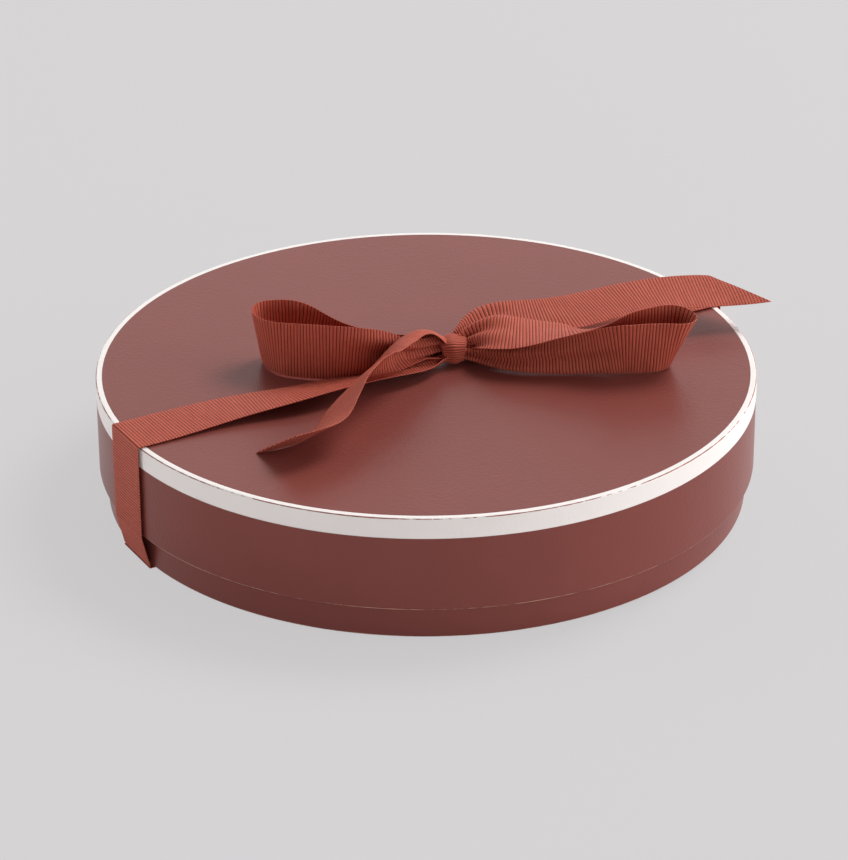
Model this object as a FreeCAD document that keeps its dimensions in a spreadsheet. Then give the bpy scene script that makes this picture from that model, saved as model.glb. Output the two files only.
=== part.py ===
"""Round paper chocolate box tied with a ribbon and a bow.

The box is a telescoping pair: a board tray with a deep board lid over it, both wrapped in paper.
Inside stands a formed insert with a pocket for each chocolate. A ribbon runs once round the box
and ends in a bow on the lid. The frame has +Z up, +X along the ribbon, and its origin on the box
axis at the underside of the ribbon strip that the box stands on.
"""

import FreeCAD, Part
import math
import os
import Sketcher
from FreeCAD import Placement, Rotation, Vector

doc = FreeCAD.newDocument("ChocolateBox")

# Driving dimensions in millimetres, plus counts and angles in degrees.
SIZES = {
    "lid_diameter": 180.0,
    "base_show": 9.2,
    "board": 1.5,
    "paper": 0.15,
    "lid_play": 0.4,
    "turn_in": 8.0,
    "turn_under": 10.0,
    "under_paper_inset": 2.0,
    "white_band_height": 5.7,
    "white_rim": 1.7,
    "cushion_edge": 0.8,
    "cushion_crown": 1.8,
    "cushion_inset": 3.0,
    "headspace": 4.8,
    "insert_wall": 0.45,
    "cup_stand": 5.5,
    "insert_play": 0.3,
    "insert_rim": 3.5,
    "pocket_depth": 13.0,
    "pocket_web": 3.0,
    "inner_count": 6,
    "outer_count": 12,
    "pocket_play": 1.2,
    "truffle_height": 18.5,
    "truffle_foot_angle": 45,
    "palet_height": 15.0,
    "square_height": 14.5,
    "dome_height": 17.0,
    "choc_edge": 1.6,
    "dome_foot": 5.0,
    "ribbon_width": 16.0,
    "ribbon_thickness": 0.4,
    "ribbon_play": 0.3,
    "knot_offset": 7.0,
    "knot_side": 2.0,
    "knot_length": 7.6,
    "knot_depth": 9.0,
    "knot_height": 9.6,
    "knot_edge": 2.2,
    "knot_play": 0.2,
}

# Worked-out radii and levels, each a formula over the driving dimensions.
PLACES = {
    "axis": "0",
    "lid_outer": "Sizes.lid_diameter / 2",
    "lid_board_outer": "Places.lid_outer - Sizes.paper",
    "lid_board_inner": "Places.lid_board_outer - Sizes.board",
    "lid_inner": "Places.lid_board_inner - Sizes.paper",
    "base_outer": "Places.lid_inner - Sizes.lid_play",
    "base_board_outer": "Places.base_outer - Sizes.paper",
    "base_board_inner": "Places.base_board_outer - Sizes.board",
    "base_inner": "Places.base_board_inner - Sizes.paper",
    "under_turn_edge": "Places.base_board_outer - Sizes.turn_under",
    "under_paper_edge": "Places.base_outer - Sizes.under_paper_inset",
    "base_under": "Sizes.ribbon_thickness",
    "base_turn": "Places.base_under + Sizes.paper",
    "base_board_low": "Places.base_turn + Sizes.paper",
    "floor_top": "Places.base_board_low + Sizes.board",
    "floor_lined": "Places.floor_top + Sizes.paper",
    "pocket_low": "Places.floor_lined + Sizes.cup_stand",
    "pocket_floor": "Places.pocket_low + Sizes.insert_wall",
    "insert_top": "Places.pocket_floor + Sizes.pocket_depth",
    "insert_web_low": "Places.insert_top - Sizes.insert_wall",
    "round_tallest": "max(Sizes.truffle_height; Sizes.dome_height)",
    "flat_tallest": "max(Sizes.palet_height; Sizes.square_height)",
    "cushion_low": "Places.pocket_floor + max(Places.round_tallest; Places.flat_tallest) + Sizes.headspace",
    "cushion_edge_low": "Places.cushion_low + Sizes.cushion_crown",
    "lid_ceiling": "Places.cushion_edge_low + Sizes.cushion_edge",
    "lid_board_under": "Places.lid_ceiling + Sizes.paper",
    "lid_board_top": "Places.lid_board_under + Sizes.board",
    "lid_top": "Places.lid_board_top + Sizes.paper",
    "base_rim": "Places.lid_ceiling",
    "base_board_top": "Places.base_rim - Sizes.paper",
    "base_turn_end": "Places.base_rim - Sizes.turn_in",
    "lid_low": "Places.base_under + Sizes.base_show",
    "lid_board_low": "Places.lid_low + Sizes.paper",
    "lid_turn_end": "Places.lid_low + Sizes.turn_in",
    "white_low": "Places.lid_top - Sizes.white_band_height",
    "white_inner": "Places.lid_outer - Sizes.white_rim",
    "cushion_radius": "Places.base_inner - Sizes.cushion_inset",
    "insert_outer": "Places.base_inner - Sizes.insert_play",
    "insert_skirt_inner": "Places.insert_outer - Sizes.insert_wall",
    "pocket_radius": "(Places.insert_outer - Sizes.insert_rim - 2 * Sizes.pocket_web) / 5",
    "pocket_outside": "Places.pocket_radius + Sizes.insert_wall",
    "inner_ring": "2 * Places.pocket_radius + Sizes.pocket_web",
    "outer_ring": "2 * Places.inner_ring",
    "choc_radius": "Places.pocket_radius - Sizes.pocket_play",
}

# The pockets from the middle outwards: ring name, count name, and the kinds that take turns round it.
RINGS = [
    ("centre", None, ["truffle"]),
    ("inner_ring", "inner_count", ["square", "dome"]),
    ("outer_ring", "outer_count", ["palet", "truffle", "dome"]),
]

# How the bow lies. Each row is one station along the ribbon: out from the knot's side, across and
# up from the lid in ribbon widths, the lean from flat in degrees, and the gathered width as a share.
LEFT_LOOP_SHARES = [
    (0.04, 0.05, 0.35, 90, 0.30),
    (0.75, 0.17, 0.50, 92, 0.72),
    (1.65, 0.30, 0.62, 92, 1.00),
    (2.25, 0.64, 0.58, 90, 1.00),
    (2.67, 1.12, 0.56, 84, 1.00),
    (2.71, 1.60, 0.56, 78, 1.00),
    (2.35, 1.76, 0.56, 84, 1.00),
    (1.80, 1.36, 0.52, 88, 0.95),
    (0.95, 0.68, 0.42, 90, 0.72),
    (0.04, 0.17, 0.35, 90, 0.30),
]
RIGHT_LOOP_SHARES = [
    (0.13, -0.04, 0.47, 25, 0.42),
    (0.41, -0.20, 0.49, 16, 0.80),
    (1.15, -0.58, 0.49, 4, 1.00),
    (1.75, -0.97, 0.50, -20, 1.00),
    (2.20, -1.28, 0.52, -50, 1.00),
    (2.65, -1.60, 0.54, -78, 1.00),
    (3.03, -1.88, 0.54, -100, 1.00),
    (3.05, -2.20, 0.50, -120, 1.00),
    (2.65, -2.25, 0.50, -114, 1.00),
    (1.95, -1.98, 0.51, -104, 1.00),
    (1.15, -1.40, 0.50, -98, 0.92),
    (0.47, -0.80, 0.40, -94, 0.58),
    (0.10, -0.27, 0.29, -90, 0.22),
]
LEFT_TAIL_SHARES = [
    (0.05, -0.22, 0.44, 30, 0.38),
    (0.45, -0.24, 0.50, 34, 0.75),
    (0.95, -0.40, 0.60, 37, 1.00),
    (1.50, -0.66, 0.69, 38, 1.00),
    (2.00, -1.00, 0.63, 39, 1.00),
    (2.45, -1.30, 0.49, 38, 1.00),
    (2.85, -1.60, 0.40, 37, 1.00),
    (3.25, -1.86, 0.375, 39, 1.00),
    (3.70, -1.95, 0.37, 41, 1.00),
    (4.25, -1.88, 0.36, 40, 1.00),
]
RIGHT_TAIL_SHARES = [
    (0.06, 0.14, 0.62, 22, 0.42),
    (0.50, 0.14, 0.71, 18, 0.80),
    (1.45, -0.18, 0.70, 13, 1.00),
    (2.45, -0.36, 0.63, 11, 1.00),
    (3.35, -0.38, 0.58, 10, 1.00),
    (4.35, -0.70, 0.56, 12, 1.00),
    (5.05, -0.96, 0.53, 10, 1.00),
]
# The stretch of ribbon on the lid, from the rim (0) to the knot (1): along as a share of that
# stretch, across and up in ribbon widths from the straight line to the knot, lean, gather.
LEFT_RUN_SHARES = [
    (0.00, 0.000, 0.00, 0, 1.00),
    (0.16, 0.035, 0.01, -1, 1.00),
    (0.34, 0.030, 0.05, -6, 1.00),
    (0.50, -0.100, 0.11, -12, 1.00),
    (0.62, -0.110, 0.125, -15, 1.00),
    (0.77, -0.110, 0.13, -16, 0.95),
    (0.89, -0.115, 0.12, -17, 0.72),
    (1.00, -0.120, 0.10, -18, 0.40),
]
RIGHT_RUN_SHARES = [
    (0.00, 0.000, 0.00, 0, 1.00),
    (0.25, 0.030, 0.01, 0, 1.00),
    (0.52, 0.050, 0.03, 2, 1.00),
    (0.75, 0.020, 0.05, 4, 0.90),
    (0.88, -0.035, 0.06, 5, 0.65),
    (1.00, -0.080, 0.06, 6, 0.36),
]
# The tails are cut on the slant: how far each edge runs past the middle, in ribbon widths.
LEFT_TAIL_CUT_SHARE = -0.25
RIGHT_TAIL_CUT_SHARE = -0.42
CUT_REACH_SHARE = 2.0
STATIONS_PER_WIDTH = 4
FOLD_STEPS = 5


def fill_sheet(name, cells):
    """Make a sheet with one named cell to a row.

    Args:
        name: The sheet's name in the document.
        cells: Alias to the text of its cell.

    Returns:
        The sheet, recomputed so that its values can be read.
    """
    sheet = doc.addObject("Spreadsheet::Sheet", name)
    for row, (alias, text) in enumerate(cells.items(), start=1):
        sheet.set(f"A{row}", alias)
        sheet.set(f"B{row}", text)
        sheet.setAlias(f"B{row}", alias)
    doc.recompute()
    return sheet


sizes = fill_sheet("Sizes", {alias: str(value) for alias, value in SIZES.items()})
places = fill_sheet("Places", {alias: "=" + formula for alias, formula in PLACES.items()})


def size(alias):
    """Read a driving dimension."""
    return float(sizes.get(alias))


def place(alias):
    """Read a worked-out radius or level."""
    return float(places.get(alias))


def origin_plane(body, role):
    """Find one of a body's own origin planes by its role."""
    return next(plane for plane in body.Origin.OriginFeatures if plane.Role == role)


def new_body(label):
    """Start a body whose label names its node."""
    body = doc.addObject("PartDesign::Body", label)
    body.Label = label
    return body


def new_sketch(body, name, role):
    """Start a sketch on one of the body's own origin planes."""
    sketch = body.newObject("Sketcher::SketchObject", f"{body.Name}_{name}")
    sketch.AttachmentSupport = [(origin_plane(body, role), "")]
    sketch.MapMode = "FlatFace"
    return sketch


def tie(sketch, constraint, formula):
    """Add a dimension to a sketch and bind it to the sheets."""
    index = sketch.addConstraint(constraint)
    sketch.setExpression(f"Constraints[{index}]", formula)


def draw_outline(sketch, corners):
    """Draw a closed outline of straight lines through corners given as pairs of place names."""
    points = [Vector(place(across), place(up), 0) for across, up in corners]
    count = len(points)
    for index in range(count):
        line = Part.LineSegment(points[index], points[(index + 1) % count])
        sketch.addGeometry(line, False)
    for index in range(count):
        following = (index + 1) % count
        sketch.addConstraint(Sketcher.Constraint("Coincident", index, 2, following, 1))
    for index, (across, up) in enumerate(corners):
        if across == "axis":
            sketch.addConstraint(Sketcher.Constraint("PointOnObject", index, 1, -2))
        else:
            width = Sketcher.Constraint("DistanceX", -1, 1, index, 1, points[index].x)
            tie(sketch, width, f"Places.{across}")
        height = Sketcher.Constraint("DistanceY", -1, 1, index, 1, points[index].y)
        tie(sketch, height, f"Places.{up}")


def turned(label, corners):
    """Turn a closed outline about the box axis.

    Args:
        label: The node's name.
        corners: Pairs of place names, radius then level, round the section.

    Returns:
        The body.
    """
    body = new_body(label)
    sketch = new_sketch(body, "section", "XZ_Plane")
    draw_outline(sketch, corners)
    turn = body.newObject("PartDesign::Revolution", f"{label}_turn")
    turn.Profile = sketch
    turn.ReferenceAxis = (sketch, ["V_Axis"])
    sketch.Visibility = False
    return body


def add_circle(sketch, radius, middle=None):
    """Draw a circle whose radius, and distance out along X, are formulas."""
    start = Vector(0, 0, 0) if middle is None else Vector(place(middle), 0, 0)
    index = sketch.addGeometry(Part.Circle(start, Vector(0, 0, 1), place(radius)), False)
    tie(sketch, Sketcher.Constraint("Radius", index, place(radius)), f"Places.{radius}")
    if middle is None:
        sketch.addConstraint(Sketcher.Constraint("Coincident", index, 3, -1, 1))
        return
    tie(sketch, Sketcher.Constraint("DistanceX", -1, 1, index, 3, start.x), f"Places.{middle}")
    sketch.addConstraint(Sketcher.Constraint("PointOnObject", index, 3, -1))


def raise_sketch(sketch, level):
    """Lift a flat sketch to a level of the box."""
    sketch.setExpression("AttachmentOffset.Base.z", f"Places.{level}")


def pad_up(body, sketch, name, low, high):
    """Pad a sketch from one level up to another."""
    pad = body.newObject("PartDesign::Pad", f"{body.Name}_{name}")
    pad.Profile = sketch
    raise_sketch(sketch, low)
    pad.setExpression("Length", f"Places.{high} - Places.{low}")
    sketch.Visibility = False
    return pad


def disc(label, radius, low, high):
    """Cut a flat disc between two levels."""
    body = new_body(label)
    sketch = new_sketch(body, "round", "XY_Plane")
    add_circle(sketch, radius)
    pad_up(body, sketch, "sheet", low, high)
    return body


def make_base():
    """Build the box's lower half: boards, wrap and linings."""
    return [
        disc("base_floor_board", "base_board_inner", "base_board_low", "floor_top"),
        turned("base_wall_board", [
            ("base_board_inner", "base_board_low"),
            ("base_board_outer", "base_board_low"),
            ("base_board_outer", "base_board_top"),
            ("base_board_inner", "base_board_top"),
        ]),
        turned("base_wrap_paper", [
            ("under_turn_edge", "base_turn"),
            ("base_outer", "base_turn"),
            ("base_outer", "base_rim"),
            ("base_inner", "base_rim"),
            ("base_inner", "base_turn_end"),
            ("base_board_inner", "base_turn_end"),
            ("base_board_inner", "base_board_top"),
            ("base_board_outer", "base_board_top"),
            ("base_board_outer", "base_board_low"),
            ("under_turn_edge", "base_board_low"),
        ]),
        disc("base_under_paper", "under_paper_edge", "base_under", "base_turn"),
        disc("base_floor_lining", "base_board_inner", "floor_top", "floor_lined"),
        turned("base_wall_lining", [
            ("base_inner", "floor_lined"),
            ("base_board_inner", "floor_lined"),
            ("base_board_inner", "base_turn_end"),
            ("base_inner", "base_turn_end"),
        ]),
    ]


def make_lid():
    """Build the lid: boards, brown wrap, white band, top paper, linings and cushion."""
    return [
        disc("lid_top_board", "lid_board_inner", "lid_board_under", "lid_board_top"),
        turned("lid_wall_board", [
            ("lid_board_inner", "lid_board_low"),
            ("lid_board_outer", "lid_board_low"),
            ("lid_board_outer", "lid_board_top"),
            ("lid_board_inner", "lid_board_top"),
        ]),
        turned("lid_wrap_paper", [
            ("lid_inner", "lid_low"),
            ("lid_outer", "lid_low"),
            ("lid_outer", "white_low"),
            ("lid_board_outer", "white_low"),
            ("lid_board_outer", "lid_board_low"),
            ("lid_board_inner", "lid_board_low"),
            ("lid_board_inner", "lid_turn_end"),
            ("lid_inner", "lid_turn_end"),
        ]),
        turned("lid_white_band", [
            ("lid_board_outer", "white_low"),
            ("lid_outer", "white_low"),
            ("lid_outer", "lid_top"),
            ("white_inner", "lid_top"),
            ("white_inner", "lid_board_top"),
            ("lid_board_outer", "lid_board_top"),
        ]),
        disc("lid_top_paper", "white_inner", "lid_board_top", "lid_top"),
        disc("lid_top_lining", "lid_board_inner", "lid_ceiling", "lid_board_under"),
        turned("lid_wall_lining", [
            ("lid_inner", "lid_turn_end"),
            ("lid_board_inner", "lid_turn_end"),
            ("lid_board_inner", "lid_ceiling"),
            ("lid_inner", "lid_ceiling"),
        ]),
        make_cushion(),
    ]


def make_cushion():
    """Build the padded disc glued under the lid, thin at its rim and crowned downwards."""
    body = new_body("lid_cushion")
    sketch = new_sketch(body, "section", "XZ_Plane")
    rim = place("cushion_radius")
    top = place("lid_ceiling")
    edge = place("cushion_edge_low")
    low = place("cushion_low")
    # The crown is one arc whose centre lies on the axis above the pad.
    drop = edge - low
    bend = (rim * rim + drop * drop) / (2 * drop)
    half_angle = math.asin(rim / bend)
    down = -math.pi / 2
    circle = Part.Circle(Vector(0, low + bend, 0), Vector(0, 0, 1), bend)
    sketch.addGeometry(Part.LineSegment(Vector(0, low, 0), Vector(0, top, 0)), False)
    sketch.addGeometry(Part.LineSegment(Vector(0, top, 0), Vector(rim, top, 0)), False)
    sketch.addGeometry(Part.LineSegment(Vector(rim, top, 0), Vector(rim, edge, 0)), False)
    sketch.addGeometry(Part.ArcOfCircle(circle, down, down + half_angle), False)
    sketch.addConstraint(Sketcher.Constraint("Coincident", 0, 2, 1, 1))
    sketch.addConstraint(Sketcher.Constraint("Coincident", 1, 2, 2, 1))
    sketch.addConstraint(Sketcher.Constraint("Coincident", 2, 2, 3, 2))
    sketch.addConstraint(Sketcher.Constraint("Coincident", 3, 1, 0, 1))
    sketch.addConstraint(Sketcher.Constraint("PointOnObject", 0, 1, -2))
    sketch.addConstraint(Sketcher.Constraint("PointOnObject", 3, 3, -2))
    sketch.addConstraint(Sketcher.Constraint("Vertical", 0))
    sketch.addConstraint(Sketcher.Constraint("Horizontal", 1))
    sketch.addConstraint(Sketcher.Constraint("Vertical", 2))
    tie(sketch, Sketcher.Constraint("DistanceX", -1, 1, 1, 2, rim), "Places.cushion_radius")
    tie(sketch, Sketcher.Constraint("DistanceY", -1, 1, 1, 2, top), "Places.lid_ceiling")
    tie(sketch, Sketcher.Constraint("DistanceY", -1, 1, 2, 2, edge), "Places.cushion_edge_low")
    tie(sketch, Sketcher.Constraint("DistanceY", -1, 1, 0, 1, low), "Places.cushion_low")
    turn = body.newObject("PartDesign::Revolution", "lid_cushion_turn")
    turn.Profile = sketch
    turn.ReferenceAxis = (sketch, ["V_Axis"])
    sketch.Visibility = False
    return body


def add_pockets(body, ring, count):
    """Hang a ring of cups under the insert's web and open each one from above."""
    middle = None if count is None else ring
    outside = new_sketch(body, f"{ring}_cup", "XY_Plane")
    add_circle(outside, "pocket_outside", middle)
    cup = pad_up(body, outside, f"{ring}_cups", "pocket_low", "insert_top")
    inside = new_sketch(body, f"{ring}_hollow", "XY_Plane")
    add_circle(inside, "pocket_radius", middle)
    raise_sketch(inside, "insert_top")
    hollow = body.newObject("PartDesign::Pocket", f"{body.Name}_{ring}_hollows")
    hollow.Profile = inside
    hollow.setExpression("Length", "Places.insert_top - Places.pocket_floor")
    inside.Visibility = False
    if count is None:
        return
    doc.recompute()
    pattern = body.newObject("PartDesign::PolarPattern", f"{body.Name}_{ring}_pattern")
    pattern.Originals = [cup, hollow]
    pattern.Axis = (outside, ["N_Axis"])
    pattern.Angle = 360
    pattern.setExpression("Occurrences", f"Sizes.{count}")
    body.Tip = pattern


def make_insert():
    """Build the formed insert: a web with a skirt round it and a cup for each chocolate."""
    body = turned("insert", [
        ("axis", "insert_web_low"),
        ("insert_skirt_inner", "insert_web_low"),
        ("insert_skirt_inner", "floor_lined"),
        ("insert_outer", "floor_lined"),
        ("insert_outer", "insert_top"),
        ("axis", "insert_top"),
    ])
    doc.recompute()
    for ring, count, _kinds in RINGS:
        add_pockets(body, ring, count)
    return body


def make_truffle(body):
    """Build a round truffle whose foot is cut flat at a set angle below its middle."""
    ball = body.newObject("PartDesign::AdditiveEllipsoid", f"{body.Name}_ball")
    foot = "sin(Sizes.truffle_foot_angle * 1 deg)"
    ball.setExpression("Radius1", f"Sizes.truffle_height / (1 + {foot})")
    ball.setExpression("Radius2", "Places.choc_radius")
    ball.setExpression("Radius3", "Places.choc_radius")
    ball.setExpression("Angle1", "-Sizes.truffle_foot_angle * 1 deg")
    ball.setExpression("Placement.Base.z", f"Sizes.truffle_height * {foot} / (1 + {foot})")


def round_edges(body, base, edges, alias):
    """Round named edges of a feature by a driving dimension."""
    fillet = body.newObject("PartDesign::Fillet", f"{body.Name}_rounding")
    fillet.Base = (base, edges)
    fillet.setExpression("Radius", f"Sizes.{alias}")


def top_edges(shape):
    """Name the edges that lie flat at the top of a shape."""
    high = shape.BoundBox.ZMax
    return [
        f"Edge{index}"
        for index, edge in enumerate(shape.Edges, start=1)
        if math.isclose(edge.BoundBox.ZMin, high, abs_tol=Part.Precision.approximation())
    ]


def make_palet(body):
    """Build a flat round chocolate with a soft upper edge."""
    sketch = new_sketch(body, "round", "XY_Plane")
    add_circle(sketch, "choc_radius")
    pad = body.newObject("PartDesign::Pad", f"{body.Name}_block")
    pad.Profile = sketch
    pad.setExpression("Length", "Sizes.palet_height")
    doc.recompute()
    round_edges(body, pad, top_edges(pad.Shape), "choc_edge")


def make_square(body):
    """Build a square enrobed ganache with a soft upper edge, its corners inside the pocket."""
    sketch = new_sketch(body, "square", "XY_Plane")
    half = place("choc_radius") / math.sqrt(2)
    corners = [Vector(half, half, 0), Vector(-half, half, 0), Vector(-half, -half, 0), Vector(half, -half, 0)]
    for index in range(4):
        sketch.addGeometry(Part.LineSegment(corners[index], corners[(index + 1) % 4]), False)
    for index in range(4):
        sketch.addConstraint(Sketcher.Constraint("Coincident", index, 2, (index + 1) % 4, 1))
    for index in (0, 2):
        sketch.addConstraint(Sketcher.Constraint("Horizontal", index))
        sketch.addConstraint(Sketcher.Constraint("Vertical", index + 1))
    sketch.addConstraint(Sketcher.Constraint("Symmetric", 0, 1, 2, 1, -1, 1))
    half_side = "Places.choc_radius / sqrt(2)"
    tie(sketch, Sketcher.Constraint("DistanceX", -1, 1, 0, 1, half), half_side)
    tie(sketch, Sketcher.Constraint("DistanceY", -1, 1, 0, 1, half), half_side)
    pad = body.newObject("PartDesign::Pad", f"{body.Name}_block")
    pad.Profile = sketch
    pad.setExpression("Length", "Sizes.square_height")
    doc.recompute()
    round_edges(body, pad, top_edges(pad.Shape), "choc_edge")


def make_dome(body):
    """Build a moulded dome on a short round foot."""
    sketch = new_sketch(body, "foot", "XY_Plane")
    add_circle(sketch, "choc_radius")
    pad = body.newObject("PartDesign::Pad", f"{body.Name}_foot_block")
    pad.Profile = sketch
    pad.setExpression("Length", "Sizes.dome_foot")
    cap = body.newObject("PartDesign::AdditiveEllipsoid", f"{body.Name}_cap")
    cap.setExpression("Radius1", "Sizes.dome_height - Sizes.dome_foot")
    cap.setExpression("Radius2", "Places.choc_radius")
    cap.setExpression("Radius3", "Places.choc_radius")
    cap.Angle1 = 0
    cap.setExpression("Placement.Base.z", "Sizes.dome_foot")


MAKERS = {"truffle": make_truffle, "palet": make_palet, "square": make_square, "dome": make_dome}


def make_chocolates():
    """Build one chocolate for each pocket, numbered from the middle outwards."""
    made = []
    for ring, count, kinds in RINGS:
        total = 1 if count is None else round(size(count))
        for step in range(total):
            kind = kinds[step % len(kinds)]
            body = new_body(f"{kind}_{len(made) + 1:02d}")
            MAKERS[kind](body)
            turn = 360 * step / total
            if count is not None:
                body.setExpression("Placement.Base.x", f"Places.{ring} * cos({turn} deg)")
                body.setExpression("Placement.Base.y", f"Places.{ring} * sin({turn} deg)")
            body.setExpression("Placement.Base.z", "Places.pocket_floor")
            made.append(body)
    return made


def lay_section(centre, along, side, lean, width, thickness):
    """Make the ribbon's cut face at one station.

    Args:
        centre: Middle of the ribbon there.
        along: Unit direction of travel.
        side: Unit direction that a flat ribbon's width would take.
        lean: Turn of the width about the direction of travel, in degrees.
        width: Width there, gathered or full.
        thickness: The ribbon's thickness.

    Returns:
        The four corners, starting at the left edge's underside.
    """
    across = Rotation(along, lean).multVec(side)
    across.normalize()
    lift = along.cross(across)
    lift.normalize()
    reach = across * (width / 2)
    half = lift * (thickness / 2)
    return [centre + reach - half, centre + reach + half, centre - reach + half, centre - reach - half]


def smooth_stations(rows, centres, count):
    """Pass smooth curves through a ribbon's stations.

    Args:
        rows: Station rows, with lean and gathered share last.
        centres: The middle of the ribbon at each row.
        count: How many stations to read off, ends included.

    Returns:
        A function from a station's number, whole or not, to centre, direction, lean and share.
    """
    steps = [math.sqrt((after - before).Length) for before, after in zip(centres, centres[1:])]
    marks = [sum(steps[:index]) for index in range(len(centres))]
    path = Part.BSplineCurve()
    path.interpolate(Points=centres, Parameters=marks)
    lay = Part.BSplineCurve()
    laid_points = [Vector(row[3], row[4], mark) for row, mark in zip(rows, marks)]
    lay.interpolate(Points=laid_points, Parameters=marks)

    def read(number):
        mark = marks[-1] * number / (count - 1)
        along = path.tangent(mark)[0]
        laid = lay.value(mark)
        return path.value(mark), along, laid.x, min(laid.y, 1)

    return read


def loft_ribbon(label, sections):
    """Join a ribbon's cut faces into one solid."""
    wires = [Part.makePolygon(corners + corners[:1]) for corners in sections]
    piece = doc.addObject("Part::Feature", label)
    piece.Label = label
    piece.Shape = Part.makeLoft(wires, True, True)
    return piece


def knot_face(out):
    """Find where ribbons end beside the knot, left (-1) or right (1) of it, with their clearance."""
    return size("knot_offset") + out * (size("knot_length") / 2 + size("knot_play"))


def make_bow_piece(label, rows, out, cut_share=0):
    """Build a loop or tail of the bow from its stations.

    Args:
        label: The node's name.
        rows: Its table of shares.
        out: -1 for the left side of the knot, 1 for the right.
        cut_share: How far its left edge runs past its middle at the free end, in ribbon widths.

    Returns:
        The ribbon's document object, placed at the knot's foot.
    """
    width = size("ribbon_width")
    thickness = size("ribbon_thickness")
    centres = [Vector(out * row[0], row[1], row[2]) * width for row in rows]
    travel = sum((after - before).Length for before, after in zip(centres, centres[1:])) / width
    count = math.ceil(travel * STATIONS_PER_WIDTH) + 1
    read = smooth_stations(rows, centres, count)
    cut_start = travel - CUT_REACH_SHARE
    sections = []
    for number in range(count):
        past_start = max(0, travel * number / (count - 1) - cut_start) / CUT_REACH_SHARE
        skew = cut_share * past_start * width
        centre, along, lean, share = read(number)
        side = Vector(0, 0, 1).cross(along)
        side.normalize()
        corners = lay_section(centre, along, side, lean, share * width, thickness)
        shift = along * skew
        sections.append([corners[0] + shift, corners[1] + shift, corners[2] - shift, corners[3] - shift])
    piece = loft_ribbon(label, sections)
    foot = Vector(knot_face(out), -size("knot_side"), place("lid_top"))
    piece.Placement = Placement(foot, Rotation())
    return piece


def make_run(label, rows, out):
    """Build one half of the ribbon round the box: up a side, over the edge and along the lid.

    Args:
        label: The node's name.
        rows: Its table of shares for the stretch on the lid.
        out: -1 for the left side of the box, 1 for the right.

    Returns:
        The ribbon's document object.
    """
    width = size("ribbon_width")
    thickness = size("ribbon_thickness")
    play = size("ribbon_play")
    stand_off = play + thickness / 2
    side = Vector(0, 1, 0)
    rim = out * place("lid_outer")
    lid_side = rim + out * stand_off
    base_side = out * (place("base_outer") + stand_off)
    foot_level = place("base_under") + play
    # The side hangs straight from the lid's edge and slopes in below it to the box's foot.
    slope_in = Vector(lid_side - base_side, 0, place("lid_low") - foot_level)
    slope_in.normalize()
    straight_up = Vector(0, 0, 1)
    sections = [
        lay_section(Vector(base_side, 0, foot_level), slope_in, side, 0, width, thickness),
        lay_section(Vector(lid_side, 0, place("lid_low")), straight_up, side, 0, width, thickness),
    ]
    for step in range(FOLD_STEPS):
        angle = math.pi / 2 * step / (FOLD_STEPS - 1)
        around = Vector(out * math.cos(angle), 0, math.sin(angle))
        centre = Vector(rim, 0, place("lid_top")) + around * stand_off
        along = Vector(-out * math.sin(angle), 0, math.cos(angle))
        sections.append(lay_section(centre, along, side, 0, width, thickness))
    reach = Vector(knot_face(out) - rim, -size("knot_side"), 0)
    start = Vector(rim, 0, place("lid_top") + stand_off)
    centres = [start + reach * row[0] + Vector(0, row[1], row[2]) * width for row in rows]
    count = math.ceil(reach.Length / width * STATIONS_PER_WIDTH) + 1
    read = smooth_stations(rows, centres, count)
    for number in range(1, count):
        centre, along, lean, share = read(number)
        sections.append(lay_section(centre, along, side, lean, share * width, thickness))
    return loft_ribbon(label, sections)


def make_under_strip():
    """Build the flat strip of ribbon that the box stands on."""
    strip = doc.addObject("Part::Box", "ribbon_under")
    strip.Label = "ribbon_under"
    reach = "Places.base_outer + Sizes.ribbon_play + Sizes.ribbon_thickness"
    strip.setExpression("Length", f"2 * ({reach})")
    strip.setExpression("Width", "Sizes.ribbon_width")
    strip.setExpression("Height", "Sizes.ribbon_thickness")
    strip.setExpression("Placement.Base.x", f"-({reach})")
    strip.setExpression("Placement.Base.y", "-Sizes.ribbon_width / 2")
    return strip


def runs_along_x(edge):
    """Tell whether an edge lies along X more than along Y or Z."""
    way = edge.tangentAt(edge.FirstParameter)
    return abs(way.x) > max(abs(way.y), abs(way.z))


def make_knot():
    """Build the knot as a block with soft edges that stands on the lid."""
    body = new_body("ribbon_knot")
    block = body.newObject("PartDesign::AdditiveBox", "ribbon_knot_block")
    block.setExpression("Length", "Sizes.knot_length")
    block.setExpression("Width", "Sizes.knot_depth")
    block.setExpression("Height", "Sizes.knot_height")
    doc.recompute()
    run_edges = [
        f"Edge{index}"
        for index, edge in enumerate(block.Shape.Edges, start=1)
        if runs_along_x(edge)
    ]
    round_edges(body, block, run_edges, "knot_edge")
    body.setExpression("Placement.Base.x", "Sizes.knot_offset - Sizes.knot_length / 2")
    body.setExpression("Placement.Base.y", "-Sizes.knot_side - Sizes.knot_depth / 2")
    body.setExpression("Placement.Base.z", "Places.lid_top + Sizes.ribbon_play")
    return body


def make_ribbon():
    """Build the ribbon round the box and its bow."""
    return [
        make_under_strip(),
        make_run("ribbon_left_run", LEFT_RUN_SHARES, -1),
        make_run("ribbon_right_run", RIGHT_RUN_SHARES, 1),
        make_knot(),
        make_bow_piece("ribbon_left_loop", LEFT_LOOP_SHARES, -1),
        make_bow_piece("ribbon_right_loop", RIGHT_LOOP_SHARES, 1),
        make_bow_piece("ribbon_left_tail", LEFT_TAIL_SHARES, -1, LEFT_TAIL_CUT_SHARE),
        make_bow_piece("ribbon_right_tail", RIGHT_TAIL_SHARES, 1, RIGHT_TAIL_CUT_SHARE),
    ]


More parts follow.
